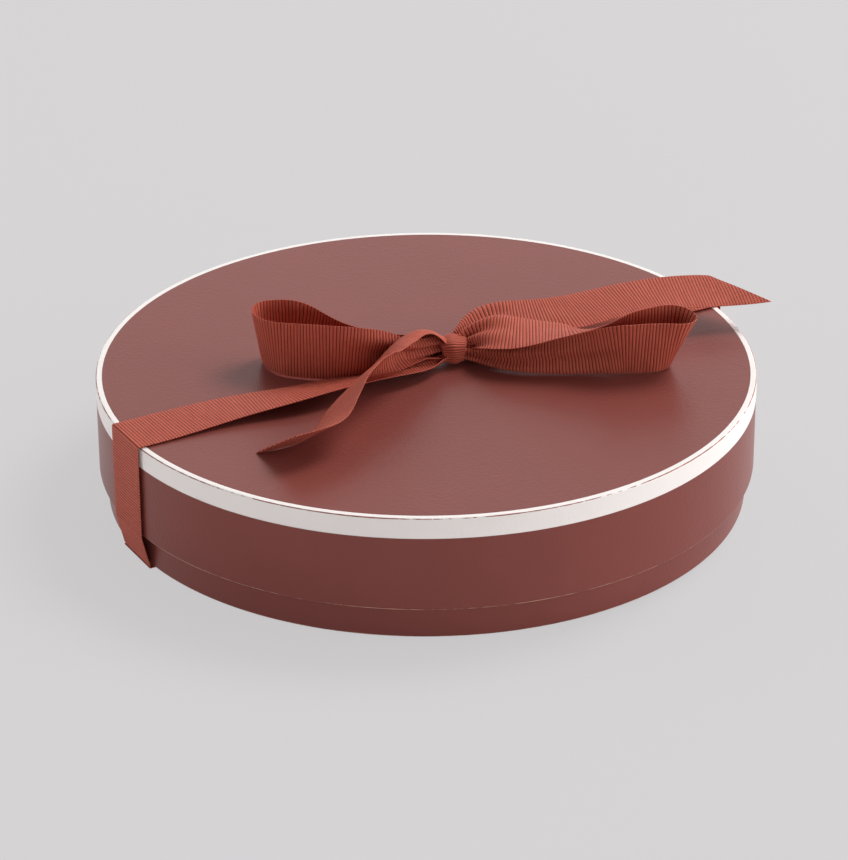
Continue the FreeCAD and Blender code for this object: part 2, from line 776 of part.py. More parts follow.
def check_document(pieces):
    """Stop with the names of any object that failed or any piece without a sound solid."""
    failed = [item.Name for item in doc.Objects if {"Invalid", "Error"} & set(item.State)]
    unsound = [item.Label for item in pieces if item.Shape.isNull() or not item.Shape.isValid()]
    not_single = [item.Label for item in pieces if len(item.Shape.Solids) != 1]
    if failed or unsound or not_single:
        raise RuntimeError(f"failed {failed}, unsound {unsound}, not one solid {not_single}")


def main():
    """Build every piece, check it and write its file."""
    pieces = make_base() + make_lid() + [make_insert()] + make_chocolates() + make_ribbon()
    doc.recompute()
    check_document(pieces)
    os.makedirs("parts", exist_ok=True)
    for item in pieces:
        item.Shape.exportStep(f"parts/{item.Label}.step")
        print(item.Label, round(item.Shape.Volume, 1))


main()
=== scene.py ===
"""Looks of a round paper chocolate box tied with a ribbon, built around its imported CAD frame.

Everything is built in metres in the part's own frame: +Z up, +X along the ribbon, and the origin
on the box axis at the level of the table.
"""

import logging
import math
from dataclasses import dataclass, field
from enum import Enum
from typing import Callable, Optional, Sequence, Union

import bmesh
import bpy
import numpy as np
from mathutils import Matrix, Vector, noise
from mathutils.geometry import delaunay_2d_cdt


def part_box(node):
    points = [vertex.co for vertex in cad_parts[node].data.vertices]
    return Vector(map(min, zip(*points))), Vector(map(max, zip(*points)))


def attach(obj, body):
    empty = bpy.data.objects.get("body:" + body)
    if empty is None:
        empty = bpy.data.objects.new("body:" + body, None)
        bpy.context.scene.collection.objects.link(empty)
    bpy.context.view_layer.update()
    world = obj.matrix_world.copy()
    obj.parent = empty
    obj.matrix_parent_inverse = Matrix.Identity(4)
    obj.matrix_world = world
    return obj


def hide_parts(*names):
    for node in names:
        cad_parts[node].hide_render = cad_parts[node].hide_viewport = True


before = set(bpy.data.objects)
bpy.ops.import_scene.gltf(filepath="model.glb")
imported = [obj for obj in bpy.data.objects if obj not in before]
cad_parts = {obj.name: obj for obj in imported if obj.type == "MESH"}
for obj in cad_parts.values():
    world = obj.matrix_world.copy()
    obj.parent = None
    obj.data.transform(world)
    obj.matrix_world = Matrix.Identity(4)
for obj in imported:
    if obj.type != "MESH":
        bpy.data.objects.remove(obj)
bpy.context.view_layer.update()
LOG = logging.getLogger("chocolate_box")
MM = 0.001
ROUND = 2 * math.pi
QUARTER = math.pi / 2
WELD_REACH = 0.001 * MM
MERGE_REACH = 1e-5
INSIDE_EDGES = 1
ACROSS = np.array([[0.0, 1.0, 0.0]])
UP = np.array([[0.0, 0.0, 1.0]])
Colour = tuple[float, float, float]
Place = tuple[float, float, float]
Input = Union["Wire", float, Sequence[float]]


def turns(steps: int) -> np.ndarray:
    """Spread angles evenly once round."""
    return np.linspace(0, ROUND, steps, endpoint=False)


def ramp(value: np.ndarray, low: float, high: float) -> np.ndarray:
    """Rise evenly from 0 at one value to 1 at another."""
    return np.clip((value - low) / (high - low), 0, 1)


def unit(rows: np.ndarray) -> np.ndarray:
    """Bring directions to length one."""
    return rows / np.linalg.norm(rows, axis=-1, keepdims=True)


def squared(side: np.ndarray, ahead: np.ndarray) -> np.ndarray:
    """Turn directions square to the way ahead, with length one."""
    return unit(side - ahead * np.sum(side * ahead, axis=1)[:, None])


def run_lengths(line: np.ndarray) -> np.ndarray:
    """Measure how far along a line each of its points is."""
    return np.concatenate([[0], np.cumsum(np.linalg.norm(np.diff(line, axis=0), axis=1))])


def both_faces(values: np.ndarray) -> np.ndarray:
    """List the values of an upper face's points and, running back, of the lower face's."""
    return np.concatenate([values, values[:, ::-1]], axis=1).ravel()


def rounded_square(turn: np.ndarray, power: float) -> np.ndarray:
    """Find how far a square with rounded corners reaches, as a share of half its width."""
    return (np.abs(np.cos(turn)) ** power + np.abs(np.sin(turn)) ** power) ** (-1 / power)


def quarter(steps: int) -> list[tuple[float, float]]:
    """List how far a quarter round still has to go, and how far it has come, at each step."""
    swings = [QUARTER * step / steps for step in range(steps + 1)]
    return [(1 - math.sin(swing), 1 - math.cos(swing)) for swing in swings]


def polar(radius: np.ndarray, turn: np.ndarray, level: np.ndarray) -> np.ndarray:
    """Place points about the Z axis.

    Args:
        radius: Distances from the axis.
        turn: Angles about it.
        level: Heights.

    Returns:
        The points, with x, y and z on the last axis.
    """
    x, y = radius * np.cos(turn), radius * np.sin(turn)
    return np.stack(np.broadcast_arrays(x, y, level), axis=-1)


class Wire:
    """One value in a material, on which sums are written as Python expressions."""

    def __init__(self, board: "Board", socket: bpy.types.NodeSocket) -> None:
        """Hold a socket of a board's node."""
        self.board = board
        self.socket = socket

    def _sum(self, operation: str, first: Input, second: Input = 0.0) -> "Wire":
        """Add a Math node for two values."""
        return self.board.node("ShaderNodeMath", {"operation": operation}, {0: first, 1: second})

    def __add__(self, other: Input) -> "Wire":
        """Add a value."""
        return self._sum("ADD", self, other)

    def __radd__(self, other: Input) -> "Wire":
        """Add this to a number."""
        return self._sum("ADD", other, self)

    def __sub__(self, other: Input) -> "Wire":
        """Take a value away."""
        return self._sum("SUBTRACT", self, other)

    def __rsub__(self, other: Input) -> "Wire":
        """Take this from a number."""
        return self._sum("SUBTRACT", other, self)

    def __mul__(self, other: Input) -> "Wire":
        """Multiply by a value."""
        return self._sum("MULTIPLY", self, other)

    def __rmul__(self, other: Input) -> "Wire":
        """Multiply a number by this."""
        return self._sum("MULTIPLY", other, self)

    def __abs__(self) -> "Wire":
        """Drop the sign."""
        return self._sum("ABSOLUTE", self)

    def sine(self) -> "Wire":
        """Take the sine of an angle in radians."""
        return self._sum("SINE", self)

    def step(self, low: float, high: float) -> "Wire":
        """Rise smoothly from 0 at one value to 1 at another."""
        sockets = {0: self, 1: low, 2: high, 3: 0.0, 4: 1.0}
        return self.board.node(
            "ShaderNodeMapRange", {"interpolation_type": "SMOOTHSTEP"}, sockets
        )

    def out(self, name: str) -> "Wire":
        """Take another output of the same node."""
        return Wire(self.board, self.socket.node.outputs[name])


class Board:
    """The nodes of one material, or of the world."""

    def __init__(self, name: str, world: bool = False) -> None:
        """Start without nodes.

        Args:
            name: The name of the material or world.
            world: Whether it is the world.
        """
        self.owner = (bpy.data.worlds if world else bpy.data.materials).new(name)
        self.owner.use_nodes = True
        self.tree = self.owner.node_tree
        self.tree.nodes.clear()
        self.end = "ShaderNodeOutputWorld" if world else "ShaderNodeOutputMaterial"

    def node(
        self,
        kind: str,
        settings: Optional[dict] = None,
        sockets: Optional[dict] = None,
        output: Union[int, str] = 0,
    ) -> Wire:
        """Add a node.

        Args:
            kind: The node's type.
            settings: Its own settings, set before its sockets.
            sockets: Values or wires by socket name or number.
            output: The output to hand on.

        Returns:
            That output.
        """
        made = self.tree.nodes.new(kind)
        for name, value in (settings or {}).items():
            setattr(made, name, value)
        for key, value in (sockets or {}).items():
            if isinstance(value, Wire):
                self.tree.links.new(value.socket, made.inputs[key])
            else:
                made.inputs[key].default_value = value
        return Wire(self, made.outputs[output])

    def place(self) -> Wire:
        """Read where a point lies in the part's frame."""
        return self.node("ShaderNodeTexCoord", output="Object")

    def kept(self, name: str) -> Wire:
        """Read a value that the mesh keeps on its points."""
        return self.node("ShaderNodeAttribute", {"attribute_name": name}, output="Fac")

    def cloud(self, where: Wire, grain: float, detail: float = 3.0, rough: float = 0.55) -> Wire:
        """Make soft noise with patches about as large as grain, in metres."""
        sockets = {"Vector": where, "Scale": 1.0 / grain, "Detail": detail, "Roughness": rough}
        return self.node("ShaderNodeTexNoise", None, sockets)

    def cells(self, where: Wire, grain: float) -> Wire:
        """Make a pebbled pattern with cells about as large as grain, in metres."""
        sockets = {"Vector": where, "Scale": 1.0 / grain, "Smoothness": 0.6}
        return self.node("ShaderNodeTexVoronoi", {"feature": "SMOOTH_F1"}, sockets)

    def stretch(self, where: Wire, by: Sequence[float]) -> Wire:
        """Scale a place by its own factor on each axis."""
        return self.node("ShaderNodeVectorMath", {"operation": "MULTIPLY"}, {0: where, 1: by})

    def mix(self, share: Input, first: Input, second: Input) -> Wire:
        """Blend two colours."""
        sockets = {0: share, 6: self.paint(first), 7: self.paint(second)}
        return self.node("ShaderNodeMix", {"data_type": "RGBA"}, sockets, 2)

    @staticmethod
    def paint(colour: Input) -> Input:
        """Give a plain colour its full opacity."""
        return colour if isinstance(colour, Wire) else (*colour, 1.0)

    def bump(self, height: Wire, depth: float) -> Wire:
        """Turn a height from 0 to 1 into a surface direction, with the full height in metres."""
        sockets = {"Strength": 1.0, "Distance": depth, "Height": height}
        return self.node("ShaderNodeBump", None, sockets)

    def shader(self, **sockets: Input) -> Wire:
        """Add a surface shader.

        Args:
            sockets: Values or wires of its sockets, with _ for spaces in their names.

        Returns:
            The shader.
        """
        named = {name.replace("_", " "): value for name, value in sockets.items()}
        named["Base Color"] = self.paint(named["Base Color"])
        return self.node("ShaderNodeBsdfPrincipled", None, named)

    def surface(self, **sockets: Input) -> bpy.types.Material:
        """Close a material with its surface shader, made from these sockets."""
        return self.close(self.shader(**sockets))

    def close(self, shader: Wire) -> Union[bpy.types.Material, bpy.types.World]:
        """Lead a shader to the output.

        Args:
            shader: The last shader.

        Returns:
            The finished material or world.
        """
        made = self.tree.nodes.new(self.end)
        self.tree.links.new(shader.socket, made.inputs["Surface"])
        return self.owner


@dataclass(frozen=True)
class PaperFinish:
    """Coated or plain paper: mottled colour, pebbled grain, and flecks where an edge is worn."""

    name: str
    colour: Colour
    deep: Colour
    worn: Colour
    worn_share: float = 0.5
    worn_from: float = 0.4
    worn_fully: float = 0.47
    roughness: float = 0.32
    shine: float = 0.25
    patch: float = 26 * MM
    fibre: float = 0.16 * MM
    pebble: float = 0.9 * MM
    fleck: float = 2.6 * MM
    fleck_group: float = 21 * MM
    depth: float = 0.05 * MM

    def build(self) -> bpy.types.Material:
        """Make the material.

        Returns:
            The finished material.
        """
        board = Board(self.name)
        where = board.place()
        mottle = board.cloud(where, self.patch, 4.0).step(0.3, 0.7)
        pebble = board.cells(where, self.pebble)
        fibre = board.cloud(where, self.fibre, 2.0)
        plain = board.mix(mottle * 0.4 + fibre * 0.6, self.deep, self.colour)
        single = board.cloud(where, self.fleck, 4.0, 0.7)
        group = board.cloud(where, self.fleck_group, 1.0)
        chance = single + group + (self.worn_share - 1.0)
        flecks = (board.kept("wear") * chance).step(self.worn_from, self.worn_fully)
        rough = self.roughness + 0.1 * (fibre - 0.5) + 0.02 * (mottle - 0.5) + 0.2 * flecks
        height = pebble * 0.75 + fibre * 0.35 - flecks * 0.5
        return board.surface(
            Base_Color=board.mix(flecks, plain, self.worn),
            Roughness=rough,
            Normal=board.bump(height, self.depth),
            Specular_IOR_Level=self.shine,
        )


@dataclass(frozen=True)
class BoardFinish:
    """Grey board pressed from waste paper, with darker and paler fibres."""

    name: str
    colour: Colour
    deep: Colour
    pulp: float = 3 * MM
    speck: float = 0.5 * MM
    depth: float = 0.08 * MM

    def build(self) -> bpy.types.Material:
        """Make the material.

        Returns:
            The finished material.
        """
        board = Board(self.name)
        where = board.place()
        pulp = board.cloud(where, self.pulp, 6.0, 0.7)
        speck = board.cloud(where, self.speck).step(0.6, 0.68)
        plain = board.mix(pulp, self.deep, self.colour)
        return board.surface(
            Base_Color=board.mix(speck * 0.7, plain, self.deep),
            Roughness=0.9 - 0.1 * pulp,
            Normal=board.bump(pulp, self.depth),
        )


@dataclass(frozen=True)
class CrepeFinish:
    """Soft crepe paper over wadding, finely wrinkled across one direction."""

    name: str
    colour: Colour
    deep: Colour
    wrinkle: float = 0.8 * MM
    wrinkle_stretch: Place = (0.25, 1.6, 1.0)
    patch: float = 14 * MM
    depth: float = 0.16 * MM
    sheen: float = 0.15

    def build(self) -> bpy.types.Material:
        """Make the material.

        Returns:
            The finished material.
        """
        board = Board(self.name)
        where = board.place()
        drawn = board.stretch(where, self.wrinkle_stretch)
        wrinkle = board.cloud(drawn, self.wrinkle, 4.0, 0.6)
        patch = board.cloud(where, self.patch, 2.0)
        return board.surface(
            Base_Color=board.mix(wrinkle * 0.6 + patch * 0.4, self.deep, self.colour),
            Roughness=0.75 + 0.15 * wrinkle,
            Normal=board.bump(wrinkle, self.depth),
            Sheen_Weight=self.sheen,
        )


@dataclass(frozen=True)
class FilmFinish:
    """Thermoformed film: glossy, with a faint orange peel and chill marks."""

    name: str
    colour: Colour
    deep: Colour
    peel: float = 1.6 * MM
    chill: float = 9 * MM
    chill_stretch: Place = (1.0, 1.0, 0.3)
    depth: float = 0.05 * MM

    def build(self) -> bpy.types.Material:
        """Make the material.

        Returns:
            The finished material.
        """
        board = Board(self.name)
        where = board.place()
        peel = board.cloud(where, self.peel, 2.0)
        chill = board.cloud(board.stretch(where, self.chill_stretch), self.chill)
        return board.surface(
            Base_Color=board.mix(chill.step(0.3, 0.7), self.deep, self.colour),
            Roughness=0.22 + 0.16 * chill,
            Normal=board.bump(peel, self.depth),
        )


@dataclass(frozen=True)
class ChocolateFinish:
    """Tempered chocolate: a soft sheen that varies, with faint flow marks and specks of bloom."""

    name: str
    colour: Colour
    deep: Colour
    roughness: float
    bloom: float = 0.0
    bloom_gain: float = 2.4
    bloom_lift: float = 0.03
    flow: float = 5 * MM
    flow_stretch: Place = (1.0, 1.0, 2.2)
    grit: float = 0.45 * MM
    depth: float = 0.12 * MM

    def build(self) -> bpy.types.Material:
        """Make the material.

        Returns:
            The finished material.
        """
        board = Board(self.name)
        where = board.place()
        flow = board.cloud(board.stretch(where, self.flow_stretch), self.flow, 4.0)
        grit = board.cloud(where, self.grit, 3.0, 0.7)
        plain = board.mix(flow, self.deep, self.colour)
        dust = (grit * 0.6 + flow * 0.4).step(0.45, 0.62) * self.bloom
        pale = tuple(min(1.0, part * self.bloom_gain + self.bloom_lift) for part in self.colour)
        return board.surface(
            Base_Color=board.mix(dust, plain, pale),
            Roughness=self.roughness + 0.14 * flow + 0.25 * dust,
            Normal=board.bump(flow * 0.4 + grit * (0.2 + self.bloom), self.depth),
        )


@dataclass(frozen=True)
class GrosgrainFinish:
    """Ribbed ribbon: thick weft cords under fine warp threads, with painted shade in the grooves
    between.
    """

    name: str
    colour: Colour
    deep: Colour
    # The groove colour is painted shade: its dark stands in for the shade that falls between the
    # cords.
    groove: Colour
    pitch: float = 0.88 * MM
    thread: float = 0.17 * MM
    yarn: float = 0.3 * MM
    yarn_stretch: Place = (1.0, 0.12, 1.0)
    slub: float = 0.9 * MM
    slub_stretch: Place = (0.08, 1.0, 1.0)
    depth: float = 0.07 * MM
    shine: float = 0.15
    sheen: float = 0.02
    sheen_spread: float = 0.4

    def build(self) -> bpy.types.Material:
        """Make the material.

        Returns:
            The finished material.
        """
        board = Board(self.name)
        along, across = board.kept("along"), board.kept("across")
        where = board.node("ShaderNodeCombineXYZ", None, {"X": across, "Y": along})
        cord = abs((along * (math.pi / self.pitch)).sine())
        thread = (across * (ROUND / self.thread)).sine() * 0.5 + 0.5
        yarn = board.cloud(board.stretch(where, self.yarn_stretch), self.yarn, 2.0)
        slub = board.cloud(board.stretch(where, self.slub_stretch), self.slub, 2.0)
        tone = yarn * 0.5 + slub * 0.5
        plain = board.mix(tone.step(0.25, 0.75), self.deep, self.colour)
        height = cord * 0.6 + thread * 0.3 + yarn * 0.3
        return board.surface(
            # Where a cord sinks into a groove it takes the groove colour, which is painted shade.
            Base_Color=board.mix(cord.step(0.1, 0.6), self.groove, plain),
            Roughness=0.5 + 0.15 * (yarn - 0.5) + 0.12 * thread,
            Normal=board.bump(height, self.depth),
            Specular_IOR_Level=self.shine,
            Sheen_Weight=self.sheen,
            Sheen_Roughness=self.sheen_spread,
        )


@dataclass(frozen=True)
class FloorFinish:
    """Plain pale studio paper, which the camera sees evenly pale with a faint shadow."""

    name: str
    colour: Colour
    seen: Colour
    even: float = 0.86
    haze: float = 0.4
    dullest: float = 0.99

    def build(self) -> bpy.types.Material:
        """Make the material.

        Returns:
            The finished material.
        """
        board = Board(self.name)
        haze = board.cloud(board.place(), self.haze, 2.0)
        dull = tuple(part * self.dullest for part in self.colour)
        paper = board.shader(
            Base_Color=board.mix(haze, dull, self.colour), Roughness=1.0, Specular_IOR_Level=0.0
        )
        glow = board.node("ShaderNodeEmission", None, {"Color": board.paint(self.seen)})
        path = board.node("ShaderNodeLightPath", output="Is Camera Ray")
        seen = path + path.out("Is Glossy Ray") + path.out("Is Transmission Ray")
        share = seen.step(0.0, 1.0) * self.even
        return board.close(board.node("ShaderNodeMixShader", None, {0: share, 1: paper, 2: glow}))


@dataclass(frozen=True)
class SkyFinish:
    """Light from all round the studio: pale walls, dim above and round the viewer."""

    name: str
    colour: Colour
    walls: float
    dim: float
    dim_way: Place
    walls_end: float = 0.45
    dim_start: float = 0.75

    def build(self) -> bpy.types.World:
        """Make the world.

        Returns:
            The finished world.
        """
        board = Board(self.name, world=True)
        way = board.node("ShaderNodeTexCoord", output="Generated")
        facing = board.node(
            "ShaderNodeVectorMath", {"operation": "DOT_PRODUCT"}, {0: way, 1: self.dim_way}, 1
        )
        paint = board.paint(self.colour)
        walls, dim = (
            board.node("ShaderNodeBackground", None, {"Color": paint, "Strength": strength})
            for strength in (self.walls, self.dim)
        )
        share = facing.step(self.walls_end, self.dim_start)
        return board.close(board.node("ShaderNodeMixShader", None, {0: share, 1: walls, 2: dim}))


class Finish(Enum):
    """The finishes of the box."""

    BROWN = PaperFinish(
        "brown_paper",
        colour=(0.226, 0.057, 0.046),
        deep=(0.201, 0.049, 0.039),
        worn=(0.55, 0.33, 0.23),
    )
    WHITE = PaperFinish(
        "white_paper",
        colour=(0.90, 0.85, 0.82),
        deep=(0.87, 0.82, 0.79),
        worn=(0.34, 0.11, 0.08),
        worn_share=0.6,
        roughness=0.45,
        shine=0.1,
    )
    LINING = PaperFinish(
        "lining_paper",
        colour=(0.80, 0.73, 0.64),
        deep=(0.72, 0.65, 0.56),
        worn=(0.8, 0.73, 0.64),
        worn_share=0.0,
        roughness=0.8,
    )
    GREYBOARD = BoardFinish("greyboard", colour=(0.45, 0.42, 0.38), deep=(0.27, 0.25, 0.22))
    CREPE = CrepeFinish("crepe_pad", colour=(0.78, 0.69, 0.58), deep=(0.64, 0.54, 0.44))
    FILM = FilmFinish("insert_film", colour=(0.17, 0.08, 0.05), deep=(0.12, 0.055, 0.034))
    COCOA = ChocolateFinish(
        "cocoa_dust",
        colour=(0.17, 0.072, 0.035),
        deep=(0.10, 0.040, 0.020),
        roughness=0.8,
        bloom=0.5,
    )
    DARK = ChocolateFinish(
        "dark_chocolate",
        colour=(0.066, 0.026, 0.015),
        deep=(0.045, 0.017, 0.010),
        roughness=0.3,
    )
    MILK = ChocolateFinish(
        "milk_chocolate",
        colour=(0.17, 0.073, 0.034),
        deep=(0.13, 0.053, 0.024),
        roughness=0.32,
    )
    RIBBON = GrosgrainFinish(
        "grosgrain",
        colour=(0.57, 0.122, 0.076),
        deep=(0.45, 0.087, 0.053),
        # The groove colour is painted shade for the grooves between the cords.
        groove=(0.10, 0.0135, 0.008),
    )
    FLOOR = FloorFinish(
        "studio_paper", colour=(0.80, 0.784, 0.792), seen=(0.640, 0.627, 0.634)
    )

    def material(self) -> bpy.types.Material:
        """Make the material once and hand it on.

        Returns:
            The material.
        """
        found = bpy.data.materials.get(self.value.name + "_looks")
        if found is None:
            found = self.value.build()
            found.name = self.value.name + "_looks"
        return found


@dataclass
class Form:
    """Points, faces and point values of one piece before it becomes an object."""

    points: np.ndarray
    faces: list[tuple[int, ...]]
    values: dict[str, np.ndarray] = field(default_factory=dict)

    @staticmethod
    def grid_faces(
        rows: int, columns: int, close_rows: bool, close_columns: bool
    ) -> list[tuple[int, ...]]:
        """List the faces of a grid of points.

        Args:
            rows: Rows of points.
            columns: Points to a row.
            close_rows: Whether the last row joins the first.
            close_columns: Whether each row's last point joins its first.

        Returns:
            Four point numbers for each face.
        """
        tall = rows if close_rows else rows - 1
        wide = columns if close_columns else columns - 1
        row, column = np.meshgrid(np.arange(tall), np.arange(wide), indexing="ij")
        row, column = row.ravel(), column.ravel()
        below, beside = (row + 1) % rows, (column + 1) % columns
        corners = (
            row * columns + column,
            row * columns + beside,
            below * columns + beside,
            below * columns + column,
        )
        return [tuple(int(point) for point in face) for face in zip(*corners)]

    @classmethod
    def grid(
        cls, points: np.ndarray, close_rows: bool = False, close_columns: bool = False
    ) -> "Form":
        """Join a grid of points into faces.

        Args:
            points: The points, rows by columns by three.
            close_rows: Whether the last row joins the first.
            close_columns: Whether each row's last point joins its first.

        Returns:
            The form.
        """
        rows, columns = points.shape[:2]
        faces = cls.grid_faces(rows, columns, close_rows, close_columns)
        return cls(points.reshape(-1, 3), faces)

    def join(self, other: "Form") -> "Form":
        """Put another form beside this one.

        Args:
            other: The other form.

        Returns:
            One form with the points, faces and values of both.
        """
        start = len(self.points)
        faces = self.faces + [tuple(point + start for point in face) for face in other.faces]
        values = {}
        for name in set(self.values) | set(other.values):
            first = self.values.get(name, np.zeros(start))
            second = other.values.get(name, np.zeros(len(other.points)))
            values[name] = np.concatenate([first, second])
        return Form(np.concatenate([self.points, other.points]), faces, values)

    def to_object(
        self, name: str, finish: Finish, crease: float = 35.0, weld: bool = True
    ) -> bpy.types.Object:
        """Make the object.

        Args:
            name: The piece's name.
            finish: Its finish.
            crease: Edges that turn by more degrees than this stay sharp.
            weld: Whether points in one place become one.

        Returns:
            The object, linked into the scene.
        """
        mesh = bpy.data.meshes.new(name)
        mesh.from_pydata(self.points.tolist(), [], self.faces)
        for key, value in self.values.items():
            layer = mesh.attributes.new(key, "FLOAT", "POINT")
            layer.data.foreach_set("value", np.asarray(value, np.float32))
        work = bmesh.new()
        work.from_mesh(mesh)
        if weld:
            bmesh.ops.remove_doubles(work, verts=work.verts, dist=WELD_REACH)
        bmesh.ops.recalc_face_normals(work, faces=work.faces)
        work.to_mesh(mesh)
        work.free()
        mesh.shade_smooth()
        mesh.set_sharp_from_angle(angle=math.radians(crease))
        made = bpy.data.objects.new(name, mesh)
        bpy.context.scene.collection.objects.link(made)
        made.data.materials.append(finish.material())
        return made


def stand_for(piece: bpy.types.Object, body: str, node: str) -> None:
    """Let a piece ride on a body and stand for a CAD node.

    Args:
        piece: The piece.
        body: The body that it rides on.
        node: The node that it stands for.
    """
    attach(piece, body)
    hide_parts(node)
    LOG.info("%s rides on %s", piece.name, body)


def dress_nodes(finish: Finish, *nodes: str) -> None:
    """Give CAD nodes their finish.

    Args:
        finish: The finish.
        nodes: The nodes.
    """
    for node in nodes:
        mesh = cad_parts[node].data
        mesh.materials.clear()
        mesh.materials.append(finish.material())
        LOG.info("%s dressed as %s", node, finish.value.name)


@dataclass(frozen=True)
class Corner:
    """One corner of a turned section, in millimetres.

    Attributes:
        radius: Its distance from the axis.
        level: Its height.
        rounding: The radius that rounds it.
        wear: How worn it is, from 0 to 1.
        skin: The share of an overlap's rise that it takes.
        thin: How closely the wear keeps to the middle of the rounding.
    """

    radius: float
    level: float
    rounding: float = 0.0
    wear: float = 0.0
    skin: float = 0.0
    thin: float = 0.6


@dataclass(frozen=True)
class Overlap:
    """Where a wrap's end lies over its start: its turn in degrees, the rest in millimetres."""

    turn: float
    reach: float = 9.0
    rise: float = 0.13
    slope: float = 0.25
    fade: float = 4.0

    def marks(self) -> np.ndarray:
        """List how far past its edge an overlap begins, is full, sinks and has gone."""
        return np.array([0, self.slope, self.reach, self.reach + self.fade])


class Lathe:
    """Turns sections about the box axis, with rounded corners that know how worn they are."""

    HOLD_SHARE = 0.5

    def __init__(self, corners: Sequence[Corner], arc_steps: int = 6) -> None:
        """Round the section's corners.

        Args:
            corners: The section, in order round it.
            arc_steps: Faces to each rounded corner.
        """
        rows: list[tuple[float, ...]] = []
        spots = [np.array([corner.radius, corner.level]) for corner in corners]
        for index, corner in enumerate(corners):
            here = spots[index]
            if corner.rounding <= 0:
                rows.append((*here, 0.0, corner.skin))
                continue
            back, on = spots[index - 1] - here, spots[(index + 1) % len(spots)] - here
            rows.extend(self._arc(corner, back, on, arc_steps))
        self.rows = np.array(rows)

    @classmethod
    def _arc(
        cls, corner: Corner, back: np.ndarray, on: np.ndarray, steps: int
    ) -> list[tuple[float, ...]]:
        """Place the points of one rounded corner, with one more on each side to hold the flats.

        Args:
            corner: The corner.
            back: The way to the corner before it.
            on: The way to the corner after it.
            steps: Faces to the rounding.

        Returns:
            The radius, level, wear and skin of each point.
        """
        here = np.array([corner.radius, corner.level])
        back_way, on_way = unit(back), unit(on)
        half = math.acos(float(np.clip(back_way @ on_way, -1, 1))) / 2
        reach = corner.rounding / math.tan(half)
        centre = here + unit(back_way + on_way) * corner.rounding / math.sin(half)
        hold = reach + corner.rounding * cls.HOLD_SHARE
        first, last = here + back_way * reach - centre, here + on_way * reach - centre
        swing = math.acos(float(np.clip(first @ last / corner.rounding**2, -1, 1)))
        start = here + back_way * min(hold, np.linalg.norm(back) / 2)
        end = here + on_way * min(hold, np.linalg.norm(on) / 2)
        rows = [(*start, 0.0, corner.skin)]
        for step in range(steps + 1):
            share = step / steps
            turned = math.sin((1 - share) * swing) * first + math.sin(share * swing) * last
            worn = corner.wear * max(0.0, math.sin(math.pi * share)) ** corner.thin
            rows.append((*(centre + turned / math.sin(swing)), worn, corner.skin))
        rows.append((*end, 0.0, corner.skin))
        return rows

    def turn(self, steps: int = 300, overlap: Optional[Overlap] = None) -> Form:
        """Turn the section once round.

        Args:
            steps: Faces round the box.
            overlap: Where the wrap's end lies over its start, if it shows.

        Returns:
            The closed form, with its wear.
        """
        radius, level, wear, skin = self.rows.T
        angles = turns(steps)
        rise = np.zeros(steps)
        if overlap is not None:
            outer = float(radius.max())
            start, marks = math.radians(overlap.turn), overlap.marks()
            angles = np.sort(np.concatenate([angles, (start + marks / outer) % ROUND]))
            rise = np.interp((angles - start) * outer, marks, (0, 1, 1, 0)) * overlap.rise
        points = polar(radius + rise[:, None] * skin, angles[:, None], level)
        form = Form.grid(points * MM, close_rows=True, close_columns=True)
        form.values["wear"] = np.tile(wear, len(angles))
        return form


@dataclass
class Levels:
    """Radii and levels that the lid and base share, in millimetres."""

    lid_outer: float = 90.0
    base_outer: float = 87.8
    base_inner: float = 86.0
    play: float = 0.4
    paper: float = 0.15
    lid_low: float = 9.6
    lid_ceiling: float = 34.2
    lid_top: float = 36.0
    white_low: float = 30.3
    white_inner: float = 88.3
    base_turn: float = 0.55
    turn_in: float = 8.0
    turn_under: float = 10.0
    edge: float = 0.5
    inner_edge: float = 0.4


@dataclass
class Base:
    """The lower half of the box."""

    levels: Levels
    overlap: Overlap = Overlap(60.0)

    def wrap(self) -> Form:
        """Form the wrap: up the outside, over the rim, and turned in and under.

        Returns:
            The closed form.
        """
        size = self.levels
        board_outer, board_inner = size.base_outer - size.paper, size.base_inner + size.paper
        board_top, board_low = size.lid_ceiling - size.paper, size.base_turn + size.paper
        turn_end = size.lid_ceiling - size.turn_in
        under_edge = board_outer - size.turn_under
        return Lathe([
            Corner(under_edge, size.base_turn),
            Corner(size.base_outer, size.base_turn, size.edge, wear=1.0, skin=1.0),
            Corner(size.base_outer, size.lid_ceiling, size.edge, wear=0.6, skin=1.0),
            Corner(size.base_inner, size.lid_ceiling, size.edge, wear=0.6),
            Corner(size.base_inner, turn_end),
            Corner(board_inner, turn_end),
            Corner(board_inner, board_top),
            Corner(board_outer, board_top),
            Corner(board_outer, board_low),
            Corner(under_edge, board_low),
        ]).turn(overlap=self.overlap)

    def build(self) -> None:
        """Make and dress the base."""
        wrap = self.wrap().to_object("base_wrap", Finish.BROWN)
        stand_for(wrap, "base", "base_wrap_paper")
        dress_nodes(Finish.BROWN, "base_under_paper")
        dress_nodes(Finish.GREYBOARD, "base_floor_board", "base_wall_board")
        dress_nodes(Finish.LINING, "base_floor_lining", "base_wall_lining")


